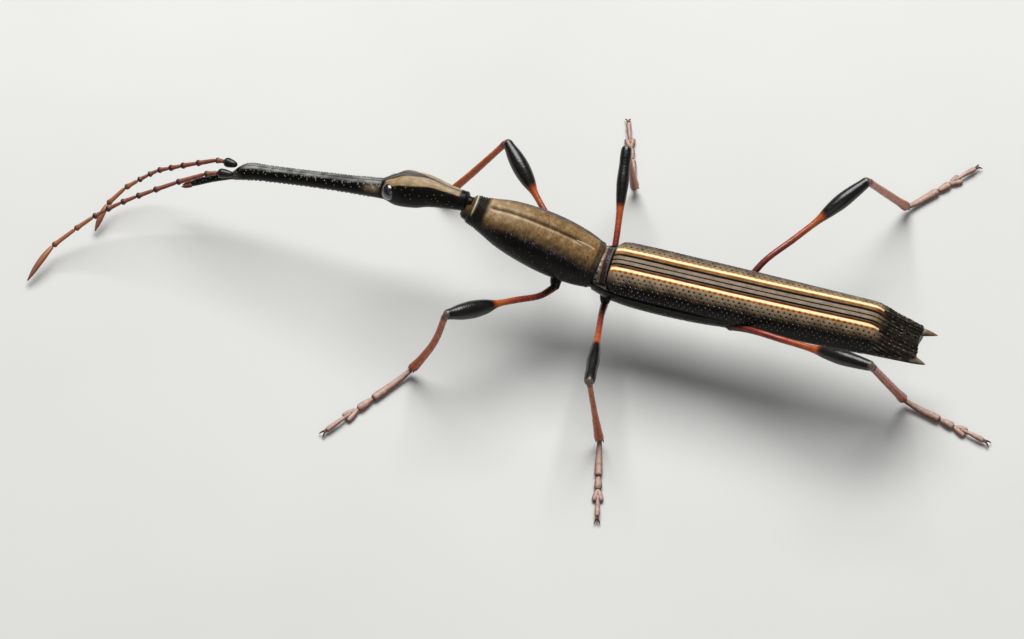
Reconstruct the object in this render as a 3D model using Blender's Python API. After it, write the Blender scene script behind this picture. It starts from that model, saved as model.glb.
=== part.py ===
"""A long-snouted brentid weevil, Ithystenus hollandiae, as a still model at its real size.

The beetle stands on its six feet, with its head towards -X, its tail towards +X, its left side
towards -Y and its back towards +Z. The origin is on the floor, below the middle of its outline.
"""

import math

import bmesh
import bpy
from mathutils import Matrix, Vector

MM = 0.001
GAP = 0.1 * MM

# The hinge of the body: the middle of the elytra's front edge, and how high it stands
BASE = Vector((4.51, -1.35, 4.5)) * MM

# Elytra: the level of their side edges above the hinge, and how square their cross-section is
EDGE_RISE = 0.27 * MM
ELYTRA_SQUARENESS = 2.8
# Distance back, half width, height of the back above the side edge
ELYTRA_SHAPE = (
    (0.0, 1.20, 0.72), (0.3, 1.44, 0.88), (1.2, 1.52, 0.95), (4.0, 1.53, 1.02), (8.0, 1.50, 1.14),
    (12.0, 1.40, 1.34), (13.0, 1.38, 1.38), (13.6, 1.36, 1.34), (14.1, 1.30, 1.20), (14.6, 1.22, 0.95),
    (15.95, 0.99, 0.25),
)
ELYTRA_SECTIONS = 16
# Where the elytra's flat inner face starts to deepen towards the tail, its depth, and the depth gained
TAIL_START = 13.0
TAIL_LENGTH = 2.95
FLOOR_DEPTH = 0.02 * MM
TAIL_DEPTH = 0.50 * MM
# Across one elytron, as shares of its half width: grooves below and ridges above the even curve
RIDGES = ((0.18, 0.0), (0.22, -0.06), (0.27, 0.02), (0.31, -0.05), (0.345, 0.04), (0.40, 0.04), (0.44, 0.0))
SIDE_POINTS = 7
# The notch in the tail's edge is a round cut, and a spine stands on each side of it
NOTCH_CENTRE = 16.82
NOTCH_RADIUS = 0.95 * MM
SPINE_ROOT = (15.25, 0.74, -0.06)
SPINE_TIP = {-1: (16.50, 1.00, 0.0), 1: (16.70, 0.86, 0.0)}
# Along a spine: share of its length, share of its radius
SPINE_PROFILE = ((0.0, 1.0), (0.45, 1.0), (0.8, 0.5), (1.0, 0.1))
SPINE_RADIUS = 0.22 * MM

# Underside: distance back, half width, depth below the side edge
THORAX_SHAPE = (
    (-0.8, 1.20, 1.64), (0.3, 1.50, 1.93), (2.0, 1.60, 2.10), (4.5, 1.59, 2.00), (6.2, 1.49, 1.80),
)
ABDOMEN_SHAPE = (
    (6.3, 1.45, 1.64), (9.0, 1.41, 1.40), (12.0, 1.32, 1.20), (13.0, 1.27, 1.10), (14.0, 1.12, 0.95),
    (14.8, 0.85, 0.80),
)
THORAX_SECTIONS = 9
# How far the hole that the thorax leaves for the coxae runs on behind it, beside the abdomen
THORAX_OVERRUN = 1.2 * MM
ABDOMEN_SECTIONS = 12
RING_RADIUS = 1.12 * MM
RING_RISE = 0.05 * MM
# Along the ring between pronotum and elytra: distance back, share of its radius
RING_SHAPE = ((-0.95, 0.98), (-0.55, 1.0), (-0.20, 1.0), (-0.12, 0.95))

# Prothorax: its frame, then distance forward, rise of the middle, half width and half height
PROTHORAX_BACK = Vector((-0.82, 0.04, 0.02)) * MM
PROTHORAX_PITCH = 16.0
PROTHORAX_YAW = 1.8
PROTHORAX_SHAPE = (
    (0.0, 0.0, 1.18, 1.18), (0.35, 0.0, 1.29, 1.29), (0.9, 0.02, 1.41, 1.40), (1.7, 0.05, 1.50, 1.49),
    (2.6, 0.07, 1.54, 1.52), (3.5, 0.09, 1.50, 1.48), (4.4, 0.10, 1.40, 1.38), (5.2, 0.10, 1.25, 1.23),
    (5.9, 0.10, 1.04, 1.02), (6.4, 0.10, 0.88, 0.87), (6.58, 0.11, 0.83, 0.82), (6.85, 0.11, 0.79, 0.78),
    (7.02, 0.09, 0.73, 0.72), (7.08, 0.06, 0.64, 0.63), (7.3, 0.03, 0.56, 0.55), (7.42, 0.01, 0.43, 0.42),
)
PROTHORAX_SECTIONS = 18
MEDIAN_GROOVE = 0.07 * MM
HEAD_GROOVE = 0.04 * MM

# Head: its frame, then distance forward, rise of the middle, half width and half height
HEAD_BACK = Vector((-7.95, 0.36, 2.38)) * MM
HEAD_PITCH = -7.4
HEAD_YAW = 0.3
HEAD_ROLL = 20.0
HEAD_SHAPE = (
    (-0.5, -0.02, 0.30, 0.30), (-0.24, 0.0, 0.36, 0.36), (-0.2, 0.02, 0.50, 0.50), (-0.05, 0.04, 0.51, 0.51),
    (0.7, 0.12, 0.59, 0.61), (1.7, 0.26, 0.76, 0.80), (2.4, 0.22, 0.88, 0.93), (3.1, 0.19, 0.92, 0.96),
    (3.6, 0.07, 0.80, 0.83), (4.0, 0.03, 0.64, 0.66), (4.3, -0.02, 0.53, 0.53),
)
HEAD_SECTIONS = 16
EYE_DISTANCE = 3.78 * MM
EYE_RISE = 0.16 * MM
EYE_SIDE = 0.44 * MM
EYE_RADIUS = 0.45 * MM

# Rostrum: its frame, then distance forward, rise of the middle, half width and half height
ROSTRUM_BACK = Vector((-12.22, 0.35, 1.84)) * MM
ROSTRUM_PITCH = -13.4
ROSTRUM_SHAPE = (
    (0.0, -0.02, 0.54, 0.54), (0.7, -0.01, 0.49, 0.50), (1.7, 0.01, 0.44, 0.45), (2.8, 0.05, 0.42, 0.43),
    (4.4, 0.09, 0.39, 0.41), (6.4, 0.13, 0.40, 0.42), (7.1, 0.15, 0.43, 0.43), (7.6, 0.10, 0.46, 0.42),
    (7.95, 0.0, 0.42, 0.36), (8.4, -0.20, 0.30, 0.26), (8.7, -0.30, 0.27, 0.25), (9.6, -0.54, 0.27, 0.25),
    (10.6, -0.88, 0.26, 0.25), (10.9, -1.0, 0.22, 0.22),
)
ROSTRUM_SECTIONS = 18
MANDIBLE_LENGTH = 0.5 * MM
MANDIBLE_RADIUS = 0.13 * MM
# Along a mandible: share of its length, distance from the middle, drop, share of its radius
MANDIBLE_PROFILE = ((0.0, 0.14, 0.0, 1.0), (0.6, 0.16, 0.12, 0.75), (1.0, 0.08, 0.20, 0.2))

# Antennae: where each joint is, from the hinge of the body, and the length of thickened ends
ANTENNA_JOINTS = {
    "left": (
        (-20.20, -0.02, 0.28), (-21.05, -0.06, 0.16), (-21.75, -0.20, -0.08), (-23.12, -0.70, -0.68),
        (-24.23, -1.20, -1.15), (-25.07, -1.58, -1.53), (-25.81, -1.95, -1.88), (-26.51, -2.38, -2.23),
        (-27.10, -2.80, -2.55), (-27.88, -3.51, -3.00), (-28.78, -4.50, -3.50), (-29.50, -6.55, -4.12),
    ),
    "right": (
        (-20.20, 0.62, 0.25), (-20.97, 0.72, 0.15), (-21.45, 0.80, -0.06), (-22.54, 0.78, -0.75),
        (-23.40, 0.72, -1.25), (-24.07, 0.66, -1.65), (-24.68, 0.58, -1.98), (-25.15, 0.35, -2.27),
        (-25.63, 0.05, -2.55), (-26.23, -0.36, -2.92), (-26.94, -1.21, -3.50), (-27.20, -2.60, -4.15),
    ),
}
SCAPE_RADIUS = 0.25 * MM
STALK_RADIUS = 0.22 * MM
JOINT_RADIUS = 0.27 * MM
SCAPE_PROFILE = ((0.0, 0.85), (0.35, 1.0), (0.8, 1.08), (1.0, 0.9))
# Along one joint of the antenna: share of its length, radius
BEAD_PROFILE = ((0.04, STALK_RADIUS), (0.5, STALK_RADIUS * 1.06), (0.86, JOINT_RADIUS))
# Along the last joint: share of its length, share of the stalk's radius, share of its rise
SABRE_PROFILE = ((0.05, 0.85, 0.1), (0.3, 1.1, 0.9), (0.6, 1.0, 1.0), (0.85, 0.6, 0.5), (1.0, 0.15, 0.0))
SABRE_RISE = 0.12 * MM
FUNICLE_START = 1
CLUB_START = 8

# Legs: where each pair leaves the body, and the lengths of its pieces
HIP = {"front": (-2.72, 1.07, -1.15), "middle": (-0.10, 0.96, -1.67), "hind": (6.45, 1.15, -0.65)}
# The coxa sits this far in from the hip, towards a point at this height above the hinge
HIP_INSET = {"front": 0.33 * MM, "middle": 0.32 * MM, "hind": -0.10 * MM}
INSET_RISE = 0.25 * MM
COXA_RADIUS = 0.39 * MM
FEMUR_LENGTH = {"front": 6.8 * MM, "middle": 6.68 * MM, "hind": 8.5 * MM}
TIBIA_LENGTH = {"front": 5.6 * MM, "middle": 4.75 * MM, "hind": 7.0 * MM}
TARSUS_LENGTH = {"front": 5.55 * MM, "middle": 4.35 * MM, "hind": 4.6 * MM}
# Share of the femur that is a thin stalk, and the radius of the club beyond it
STALK_SHARE = {"front": 0.56, "middle": 0.50, "hind": 0.64}
CLUB_RADIUS = {"front": 0.46 * MM, "middle": 0.33 * MM, "hind": 0.43 * MM}
LEG_RADIUS = 0.25 * MM
KNEE_RADIUS = 0.29 * MM
TIBIA_END_RADIUS = 0.30 * MM
# How far the femur bows back and out near the hip, and how far up
FEMUR_BOW = {
    ("front", "left"): (0.29 * MM, 0.0),
    ("front", "right"): (0.07 * MM, 0.0),
    ("middle", "left"): (-0.05 * MM, 0.0),
    ("middle", "right"): (-0.12 * MM, 0.0),
    ("hind", "left"): (-0.33 * MM, 0.60 * MM),
    ("hind", "right"): (-0.15 * MM, 0.38 * MM),
}
# How far the middle of a tibia bows back; the others are straight
TIBIA_BOW = {("front", "left"): 0.26 * MM, ("front", "right"): 0.05 * MM}
ANKLE_HEIGHT = 0.45 * MM
FOOT_HEIGHT = 0.23 * MM
# Which way each leg goes, in degrees out from straight ahead towards its own side:
# femur, how steeply the femur climbs, tibia, tarsus
POSE = {
    ("front", "left"): (47.1, 20.6, 12.5, 56.2),
    ("front", "right"): (46.2, 13.3, -23.4, -1.0),
    ("middle", "left"): (98.4, 20.2, 155.4, 104.4),
    ("middle", "right"): (79.4, 20.0, 111.0, 70.0),
    ("hind", "left"): (164.3, 20.2, 239.1, 165.9),
    ("hind", "right"): (126.5, 17.7, 119.0, 129.0),
}
# Tarsus: the share of its length at which each of its first three joints ends, and the claws
TARSUS_ENDS = (0.46, 0.63, 0.78)
LOBE_RADIUS = 0.24 * MM
CLAW_LENGTH = 0.38 * MM
CLAW_SPREAD = 24.0
CLAW_RADIUS = 0.10 * MM
CLAW_CLEARANCE = 0.03 * MM

# Points around the outline of each body part
RING_POINTS = 20
PROTHORAX_POINTS = 20
HEAD_POINTS = 16
ROSTRUM_POINTS = 12
UNDERSIDE_POINTS = 18
CLEARANCE_POINTS = 24
COXA_SEGMENTS = 12
EYE_SEGMENTS = 14
BALL_RINGS = 8
FLOOR_BLOCK = Vector((80.0, 60.0, 4.0)) * MM

SIDES = {"left": -1, "right": 1}
SMALLEST = 0.001 * MM


def clear_scene():
    for obj in list(bpy.data.objects):
        bpy.data.objects.remove(obj, do_unlink=True)


def new_collection(name):
    collection = bpy.data.collections.new(name)
    bpy.context.scene.collection.children.link(collection)
    return collection


def finish_material(name, colour, roughness, metallic=0.0):
    material = bpy.data.materials.new(name)
    material.use_nodes = True
    shader = material.node_tree.nodes["Principled BSDF"]
    shader.inputs["Base Color"].default_value = (*colour, 1.0)
    shader.inputs["Roughness"].default_value = roughness
    shader.inputs["Metallic"].default_value = metallic
    return material


def add_object(name, mesh):
    obj = bpy.data.objects.new(name, mesh)
    BEETLE.objects.link(obj)
    return obj


def closed_mesh(name, bm):
    bmesh.ops.remove_doubles(bm, verts=bm.verts, dist=SMALLEST)
    bmesh.ops.recalc_face_normals(bm, faces=bm.faces)
    mesh = bpy.data.meshes.new(name)
    bm.to_mesh(mesh)
    bm.free()
    mesh.shade_smooth()
    mesh.set_sharp_from_angle(angle=math.radians(50))
    return mesh


def loft(name, sections):
    """A closed skin over a row of closed outlines that have the same number of points."""
    bm = bmesh.new()
    rings = [[bm.verts.new(point) for point in section] for section in sections]
    for near, far in zip(rings, rings[1:]):
        for i, corner in enumerate(near):
            bm.faces.new((near[i - 1], corner, far[i], far[i - 1]))
    bm.faces.new(rings[0])
    bm.faces.new(rings[-1])
    bmesh.ops.triangulate(bm, faces=bm.faces)
    return add_object(name, closed_mesh(name, bm))


def tube(name, points, radii):
    """A round rod along the points, with its own radius at each, as a mesh with closed ends."""
    curve = bpy.data.curves.new(name, "CURVE")
    curve.dimensions = "3D"
    curve.bevel_depth = MM
    curve.bevel_resolution = 2
    curve.use_fill_caps = True
    spline = curve.splines.new("POLY")
    spline.points.add(len(points) - 1)
    for target, point, radius in zip(spline.points, points, radii):
        target.co = (*point, 1.0)
        target.radius = radius / MM
    rod = bpy.data.objects.new(name, curve)
    BEETLE.objects.link(rod)
    graph = bpy.context.evaluated_depsgraph_get()
    bm = bmesh.new()
    raw = bpy.data.meshes.new_from_object(rod.evaluated_get(graph))
    bm.from_mesh(raw)
    bpy.data.objects.remove(rod)
    bpy.data.meshes.remove(raw)
    return add_object(name, closed_mesh(name, bm))


def ball(name, centre, radius, segments):
    bm = bmesh.new()
    bmesh.ops.create_uvsphere(bm, u_segments=segments, v_segments=BALL_RINGS, radius=radius)
    bmesh.ops.translate(bm, verts=bm.verts, vec=centre)
    return add_object(name, closed_mesh(name, bm))


def pieces_of(bm):
    """The separate closed surfaces of a mesh, as lists of faces."""
    left = set(bm.faces)
    found = []
    while left:
        piece = []
        waiting = [left.pop()]
        while waiting:
            face = waiting.pop()
            piece.append(face)
            for edge in face.edges:
                for other in edge.link_faces:
                    if other in left:
                        left.remove(other)
                        waiting.append(other)
        found.append(piece)
    return found


def keep_largest(mesh):
    bm = bmesh.new()
    bm.from_mesh(mesh)
    found = sorted(pieces_of(bm), key=lambda piece: sum(face.calc_area() for face in piece))
    loose = [face for piece in found[:-1] for face in piece]
    bmesh.ops.delete(bm, geom=loose, context="FACES")
    bmesh.ops.dissolve_degenerate(bm, edges=bm.edges, dist=SMALLEST)
    bmesh.ops.triangulate(bm, faces=bm.faces)
    bm.to_mesh(mesh)
    bm.free()


def combine(target, others, operation, solver):
    """Joins the other objects to the target, or cuts them from it, and removes them."""
    helpers = bpy.data.collections.new("helpers")
    bpy.context.scene.collection.children.link(helpers)
    for other in others:
        BEETLE.objects.unlink(other)
        helpers.objects.link(other)
    modifier = target.modifiers.new(operation.lower(), "BOOLEAN")
    modifier.operation = operation
    modifier.operand_type = "COLLECTION"
    modifier.collection = helpers
    modifier.solver = solver
    graph = bpy.context.evaluated_depsgraph_get()
    mesh = bpy.data.meshes.new_from_object(target.evaluated_get(graph))
    target.modifiers.clear()
    target.data = mesh
    for other in others:
        bpy.data.objects.remove(other)
    bpy.data.collections.remove(helpers)
    keep_largest(mesh)
    return target


def join(target, others, solver="EXACT"):
    return combine(target, others, "UNION", solver)


def cut(target, others, solver="EXACT"):
    return combine(target, others, "DIFFERENCE", solver)


def between(stations, where):
    """The values at a distance, read smoothly from a row of stations (Catmull-Rom)."""
    last = len(stations) - 1
    i = 0
    while i < last - 1 and stations[i + 1][0] < where:
        i += 1
    near, far = stations[i], stations[i + 1]
    before, after = stations[max(i - 1, 0)], stations[min(i + 2, last)]
    span = far[0] - near[0]
    t = min(max((where - near[0]) / span, 0.0), 1.0)
    values = []
    for k in range(1, len(near)):
        slope_near = (far[k] - before[k]) / (far[0] - before[0]) * span
        slope_far = (after[k] - near[k]) / (after[0] - near[0]) * span
        values.append(
            near[k] * (2 * t**3 - 3 * t**2 + 1)
            + slope_near * (t**3 - 2 * t**2 + t)
            + far[k] * (3 * t**2 - 2 * t**3)
            + slope_far * (t**3 - t**2)
        )
    return values


def distances(stations, count):
    """Places for sections: every station, and enough between them to reach the count."""
    places = [station[0] for station in stations]
    while len(places) < count:
        widest = max(range(len(places) - 1), key=lambda i: places[i + 1] - places[i])
        places.insert(widest + 1, (places[widest] + places[widest + 1]) / 2)
    return places


def frame(back, pitch, yaw=0.0, roll=0.0):
    """A frame whose X runs forward, Y to the beetle's left and Z up, then rolled to its right."""
    turn = Matrix.Rotation(math.pi - math.radians(yaw), 4, "Z")
    lift = Matrix.Rotation(-math.radians(pitch), 4, "Y")
    bank = Matrix.Rotation(math.radians(roll), 4, "X")
    return Matrix.Translation(BASE + back) @ turn @ lift @ bank


def oval(distance, rise, half_width, half_height, count, groove=0.0):
    """An outline across a frame, with its first point on top, where a groove may sink it."""
    points = []
    for k in range(count):
        angle = math.pi / 2 + 2 * math.pi * k / count
        z = rise + half_height * math.sin(angle) - (groove if k == 0 else 0.0)
        points.append(Vector((distance, half_width * math.cos(angle), z)))
    return points


def body_point(x, y, z):
    return BASE + Vector((x, y, z)) * MM


def direction(heading, climb, side):
    """A unit vector, its heading measured out from straight ahead towards the given side."""
    level = math.cos(math.radians(climb))
    return Vector((
        -level * math.cos(math.radians(heading)),
        side * level * math.sin(math.radians(heading)),
        math.sin(math.radians(climb)),
    ))


def elytra_floor(x):
    """How far the elytra's flat inner face lies below their side edges, deeper at the tail."""
    tail = min(max((x - TAIL_START) / TAIL_LENGTH, 0.0), 1.0)
    return -FLOOR_DEPTH - TAIL_DEPTH * tail


def elytron_outline(x, side):
    half_width, height = (value * MM for value in between(ELYTRA_SHAPE, x))
    squareness = ELYTRA_SQUARENESS
    shrink = height / MM
    points = []
    for share, relief in RIDGES:
        z = height * (1 - share**squareness) ** (1 / squareness) + relief * shrink * MM
        points.append((share * half_width, z))
    first = math.acos(RIDGES[-1][0] ** (squareness / 2))
    for k in range(1, SIDE_POINTS + 1):
        angle = first * (1 - k / SIDE_POINTS)
        y = half_width * math.cos(angle) ** (2 / squareness)
        z = height * math.sin(angle) ** (2 / squareness) if k < SIDE_POINTS else 0.0
        points.append((y, z))
    floor = elytra_floor(x)
    points.append((half_width * 0.94, floor))
    points.append((GAP / 2, floor))
    points.append((GAP / 2, height))
    return [BASE + Vector((x * MM, side * y, EDGE_RISE + z)) for y, z in points]


def make_elytron(name, side_name):
    side = SIDES[side_name]
    places = distances(ELYTRA_SHAPE, ELYTRA_SECTIONS)
    elytron = loft(name, [elytron_outline(x, side) for x in places])
    notch_ends = [body_point(NOTCH_CENTRE, 0.0, height) for height in (-2.0, 2.0)]
    cut(elytron, [tube("notch", notch_ends, [NOTCH_RADIUS, NOTCH_RADIUS])], "MANIFOLD")
    root = body_point(SPINE_ROOT[0], side * SPINE_ROOT[1], SPINE_ROOT[2])
    tip_x, tip_y, tip_z = SPINE_TIP[side]
    tip = body_point(tip_x, side * tip_y, tip_z)
    points = [root.lerp(tip, share) for share, _ in SPINE_PROFILE]
    spine = tube("spine", points, [SPINE_RADIUS * radius for _, radius in SPINE_PROFILE])
    join(elytron, [spine], "MANIFOLD")
    return cut(elytron, [femur_tube("femur_clearance", "hind", side_name, GAP)], "MANIFOLD")


def underside_outline(stations, x):
    """The body below the elytra: a flat top and a round belly."""
    half_width, depth = (value * MM for value in between(stations, x))
    top = elytra_floor(x) - GAP
    points = []
    for k in range(UNDERSIDE_POINTS):
        angle = math.pi * k / (UNDERSIDE_POINTS - 1)
        z = top - (depth + top) * math.sin(angle)
        points.append(BASE + Vector((x * MM, half_width * math.cos(angle), EDGE_RISE + z)))
    return points


def make_underside(name, stations, sections):
    return loft(name, [underside_outline(stations, x) for x in distances(stations, sections)])


def make_ring():
    """The grey ring of the middle thorax that shows between the pronotum and the elytra."""
    outlines = []
    for x, share in RING_SHAPE:
        outline = oval(x * MM, RING_RISE, RING_RADIUS * share, RING_RADIUS * share, RING_POINTS)
        outlines.append([BASE + point for point in outline])
    return loft("ring", outlines)


def shell(name, matrix, stations, count, sections, groove=0.0, grow=0.0):
    """A body part along its own frame: ovals at the stations' distances."""
    outlines = []
    for place in distances(stations, sections):
        values = [value * MM for value in between(stations, place)]
        rise, half_width, half_height = values
        outline = oval(place * MM, rise, half_width + grow, half_height + grow, count, groove)
        outlines.append([matrix @ point for point in outline])
    if grow:
        for end, other in ((0, 1), (-1, -2)):
            stretch_end(outlines, end, other, grow)
    return loft(name, outlines)


def stretch_end(outlines, end, other, grow):
    """Moves an end outline outwards along the part by the grown amount."""
    middle = sum(outlines[end], Vector()) / len(outlines[end])
    inward = sum(outlines[other], Vector()) / len(outlines[other])
    step = (middle - inward).normalized() * grow
    outlines[end] = [point + step for point in outlines[end]]


def prothorax_frame():
    return frame(PROTHORAX_BACK, PROTHORAX_PITCH, PROTHORAX_YAW)


def head_frame():
    return frame(HEAD_BACK, HEAD_PITCH, HEAD_YAW, HEAD_ROLL)


def rostrum_frame():
    return frame(ROSTRUM_BACK, ROSTRUM_PITCH, HEAD_YAW, HEAD_ROLL)


def prothorax_shell(name, groove=0.0, grow=0.0):
    matrix = prothorax_frame()
    return shell(name, matrix, PROTHORAX_SHAPE, PROTHORAX_POINTS, PROTHORAX_SECTIONS, groove, grow)


def head_shell(name, groove=0.0, grow=0.0):
    return shell(name, head_frame(), HEAD_SHAPE, HEAD_POINTS, HEAD_SECTIONS, groove, grow)


def rostrum_shell(name, groove=0.0, grow=0.0):
    matrix = rostrum_frame()
    return shell(name, matrix, ROSTRUM_SHAPE, ROSTRUM_POINTS, ROSTRUM_SECTIONS, groove, grow)


def make_head():
    head = head_shell("head", groove=HEAD_GROOVE)
    return cut(head, [prothorax_shell("collar_clearance", grow=GAP)])


def make_rostrum():
    rostrum = rostrum_shell("rostrum", groove=HEAD_GROOVE)
    return cut(rostrum, [head_shell("head_clearance", grow=GAP)])


def make_eye(name, side):
    centre = head_frame() @ Vector((EYE_DISTANCE, -side * EYE_SIDE, EYE_RISE))
    eye = ball(name, centre, EYE_RADIUS, EYE_SEGMENTS)
    return cut(eye, [head_shell("head_clearance", grow=GAP)])


def make_mandible(name, side):
    root_x = ROSTRUM_SHAPE[-1][0] * MM + GAP
    root_z = ROSTRUM_SHAPE[-1][1] * MM
    points, radii = [], []
    for share, out, drop, radius in MANDIBLE_PROFILE:
        place = Vector((root_x + share * MANDIBLE_LENGTH, -side * out * MM, root_z - drop * MM))
        points.append(rostrum_frame() @ place)
        radii.append(MANDIBLE_RADIUS * radius)
    return tube(name, points, radii)


def antenna_points(side_name):
    return [body_point(*joint) for joint in ANTENNA_JOINTS[side_name]]


def make_scape(name, side_name):
    joints = antenna_points(side_name)
    start, end = joints[0], joints[FUNICLE_START]
    stop = end - (end - start).normalized() * GAP / 2
    points = [start.lerp(stop, share) for share, _ in SCAPE_PROFILE]
    scape = tube(name, points, [SCAPE_RADIUS * radius for _, radius in SCAPE_PROFILE])
    return cut(scape, [rostrum_shell("rostrum_clearance", grow=GAP)])


def beads(joints):
    """Points and radii along a string of antennal joints, thin at the root and thick at the end."""
    points, radii = [], []
    for start, end in zip(joints, joints[1:]):
        for share, radius in BEAD_PROFILE:
            points.append(start.lerp(end, share))
            radii.append(radius)
    return points, radii


def make_funicle(name, side_name):
    joints = antenna_points(side_name)[FUNICLE_START : CLUB_START + 1]
    points, radii = beads(joints)
    points.append(joints[-1] - (joints[-1] - joints[-2]).normalized() * GAP / 2)
    radii.append(STALK_RADIUS)
    points[0] = joints[0] + (joints[1] - joints[0]).normalized() * GAP / 2
    return tube(name, points, radii)


def make_club(name, side_name):
    joints = antenna_points(side_name)[CLUB_START:]
    points, radii = beads(joints[:-1])
    points[0] = joints[0] + (joints[1] - joints[0]).normalized() * GAP / 2
    last, tip = joints[-2], joints[-1]
    for share, radius, rise in SABRE_PROFILE:
        points.append(last.lerp(tip, share) + Vector((0.0, 0.0, SABRE_RISE * rise)))
        radii.append(STALK_RADIUS * radius)
    return tube(name, points, radii)


def leg_joints(pair, side_name):
    """Where a leg's hip, knee, ankle and foot's end are."""
    side = SIDES[side_name]
    femur_heading, femur_climb, tibia_heading, tarsus_heading = POSE[pair, side_name]
    x, y, z = HIP[pair]
    hip = body_point(x, side * y, z)
    knee = hip + direction(femur_heading, femur_climb, side) * FEMUR_LENGTH[pair]
    fall = math.degrees(math.asin((knee.z - ANKLE_HEIGHT) / TIBIA_LENGTH[pair]))
    ankle = knee + direction(tibia_heading, -fall, side) * TIBIA_LENGTH[pair]
    toe = ankle + direction(tarsus_heading, 0.0, side) * TARSUS_LENGTH[pair]
    toe.z = FOOT_HEIGHT
    return hip, knee, ankle, toe


def femur_tube(name, pair, side_name, grow=0.0):
    hip, knee, _, _ = leg_joints(pair, side_name)
    share, club = STALK_SHARE[pair], CLUB_RADIUS[pair]
    back, up = FEMUR_BOW[pair, side_name]
    bow = direction(POSE[pair, side_name][0] + 90.0, 0.0, SIDES[side_name]) * back + Vector((0.0, 0.0, up))
    swell = 1.0 - share
    # Along the femur: share of its length, radius, share of the bow
    profile = (
        (0.0, LEG_RADIUS, 0.0), (share * 0.3, LEG_RADIUS, 1.0), (share * 0.65, LEG_RADIUS, 0.65),
        (share * 0.95, LEG_RADIUS, 0.4), (share + swell * 0.2, club * 0.82, 0.38),
        (share + swell * 0.45, club, 0.3), (share + swell * 0.7, club * 0.92, 0.18),
        (share + swell * 0.9, KNEE_RADIUS * 1.05, 0.06), (1.0, KNEE_RADIUS * 0.8, 0.0),
    )
    points = [hip.lerp(knee, t) + bow * bend for t, _, bend in profile]
    radii = [radius + grow for _, radius, _ in profile]
    if grow:
        points[-1] += (knee - hip).normalized() * grow
    return tube(name, points, radii)


def tibia_tube(name, pair, side_name, grow=0.0):
    _, knee, ankle, _ = leg_joints(pair, side_name)
    # Along the tibia: share of its length, radius, share of the bow
    profile = (
        (0.0, LEG_RADIUS, 0.0), (0.12, LEG_RADIUS, 0.35), (0.45, LEG_RADIUS, 1.0),
        (0.8, LEG_RADIUS * 1.06, 0.6), (0.96, TIBIA_END_RADIUS, 0.1), (1.0, TIBIA_END_RADIUS * 0.9, 0.0),
    )
    bow = Vector((TIBIA_BOW.get((pair, side_name), 0.0), 0.0, 0.0))
    points = [knee.lerp(ankle, t) + bow * bend for t, _, bend in profile]
    radii = [radius + grow for _, radius, _ in profile]
    if grow:
        points[-1] += (ankle - knee).normalized() * grow
    return tube(name, points, radii)


def coxa_centre(pair, side_name):
    hip, _, _, _ = leg_joints(pair, side_name)
    inward = Vector((hip.x, BASE.y, BASE.z + INSET_RISE)) - hip
    return hip + inward.normalized() * HIP_INSET[pair]


def make_coxa(name, pair, side_name, body):
    coxa = ball(name, coxa_centre(pair, side_name), COXA_RADIUS, COXA_SEGMENTS)
    return cut(coxa, [body(GAP)])


def make_femur(name, pair, side_name):
    centre = coxa_centre(pair, side_name)
    clearance = ball("coxa_clearance", centre, COXA_RADIUS + GAP, COXA_SEGMENTS)
    return cut(femur_tube(name, pair, side_name), [clearance])


def make_tibia(name, pair, side_name):
    tibia = tibia_tube(name, pair, side_name)
    return cut(tibia, [femur_tube("femur_clearance", pair, side_name, GAP)])


def claw_tube(toe, heading, side, spread):
    """One hooked claw, its root sunk in the end of the tarsus."""
    forward = direction(heading, 0.0, side)
    along = direction(heading + spread, 0.0, side)
    points = [toe - forward * CLAW_LENGTH * 0.55]
    radii = [CLAW_RADIUS]
    for share, lift, radius in ((0.3, 0.06, 0.9), (0.75, -0.02, 0.6), (1.0, -0.16, 0.15)):
        point = toe + along * CLAW_LENGTH * share
        point.z = max(toe.z + lift * MM, CLAW_CLEARANCE)
        points.append(point)
        radii.append(CLAW_RADIUS * radius)
    return tube("claw", points, radii)


def floor_block():
    """A block whose top is the floor, which trims the soles flat."""
    bm = bmesh.new()
    bmesh.ops.create_cube(bm, size=1.0)
    bmesh.ops.scale(bm, verts=bm.verts, vec=FLOOR_BLOCK)
    bmesh.ops.translate(bm, verts=bm.verts, vec=(0.0, 0.0, -FLOOR_BLOCK.z / 2))
    return add_object("floor_block", closed_mesh("floor_block", bm))


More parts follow.
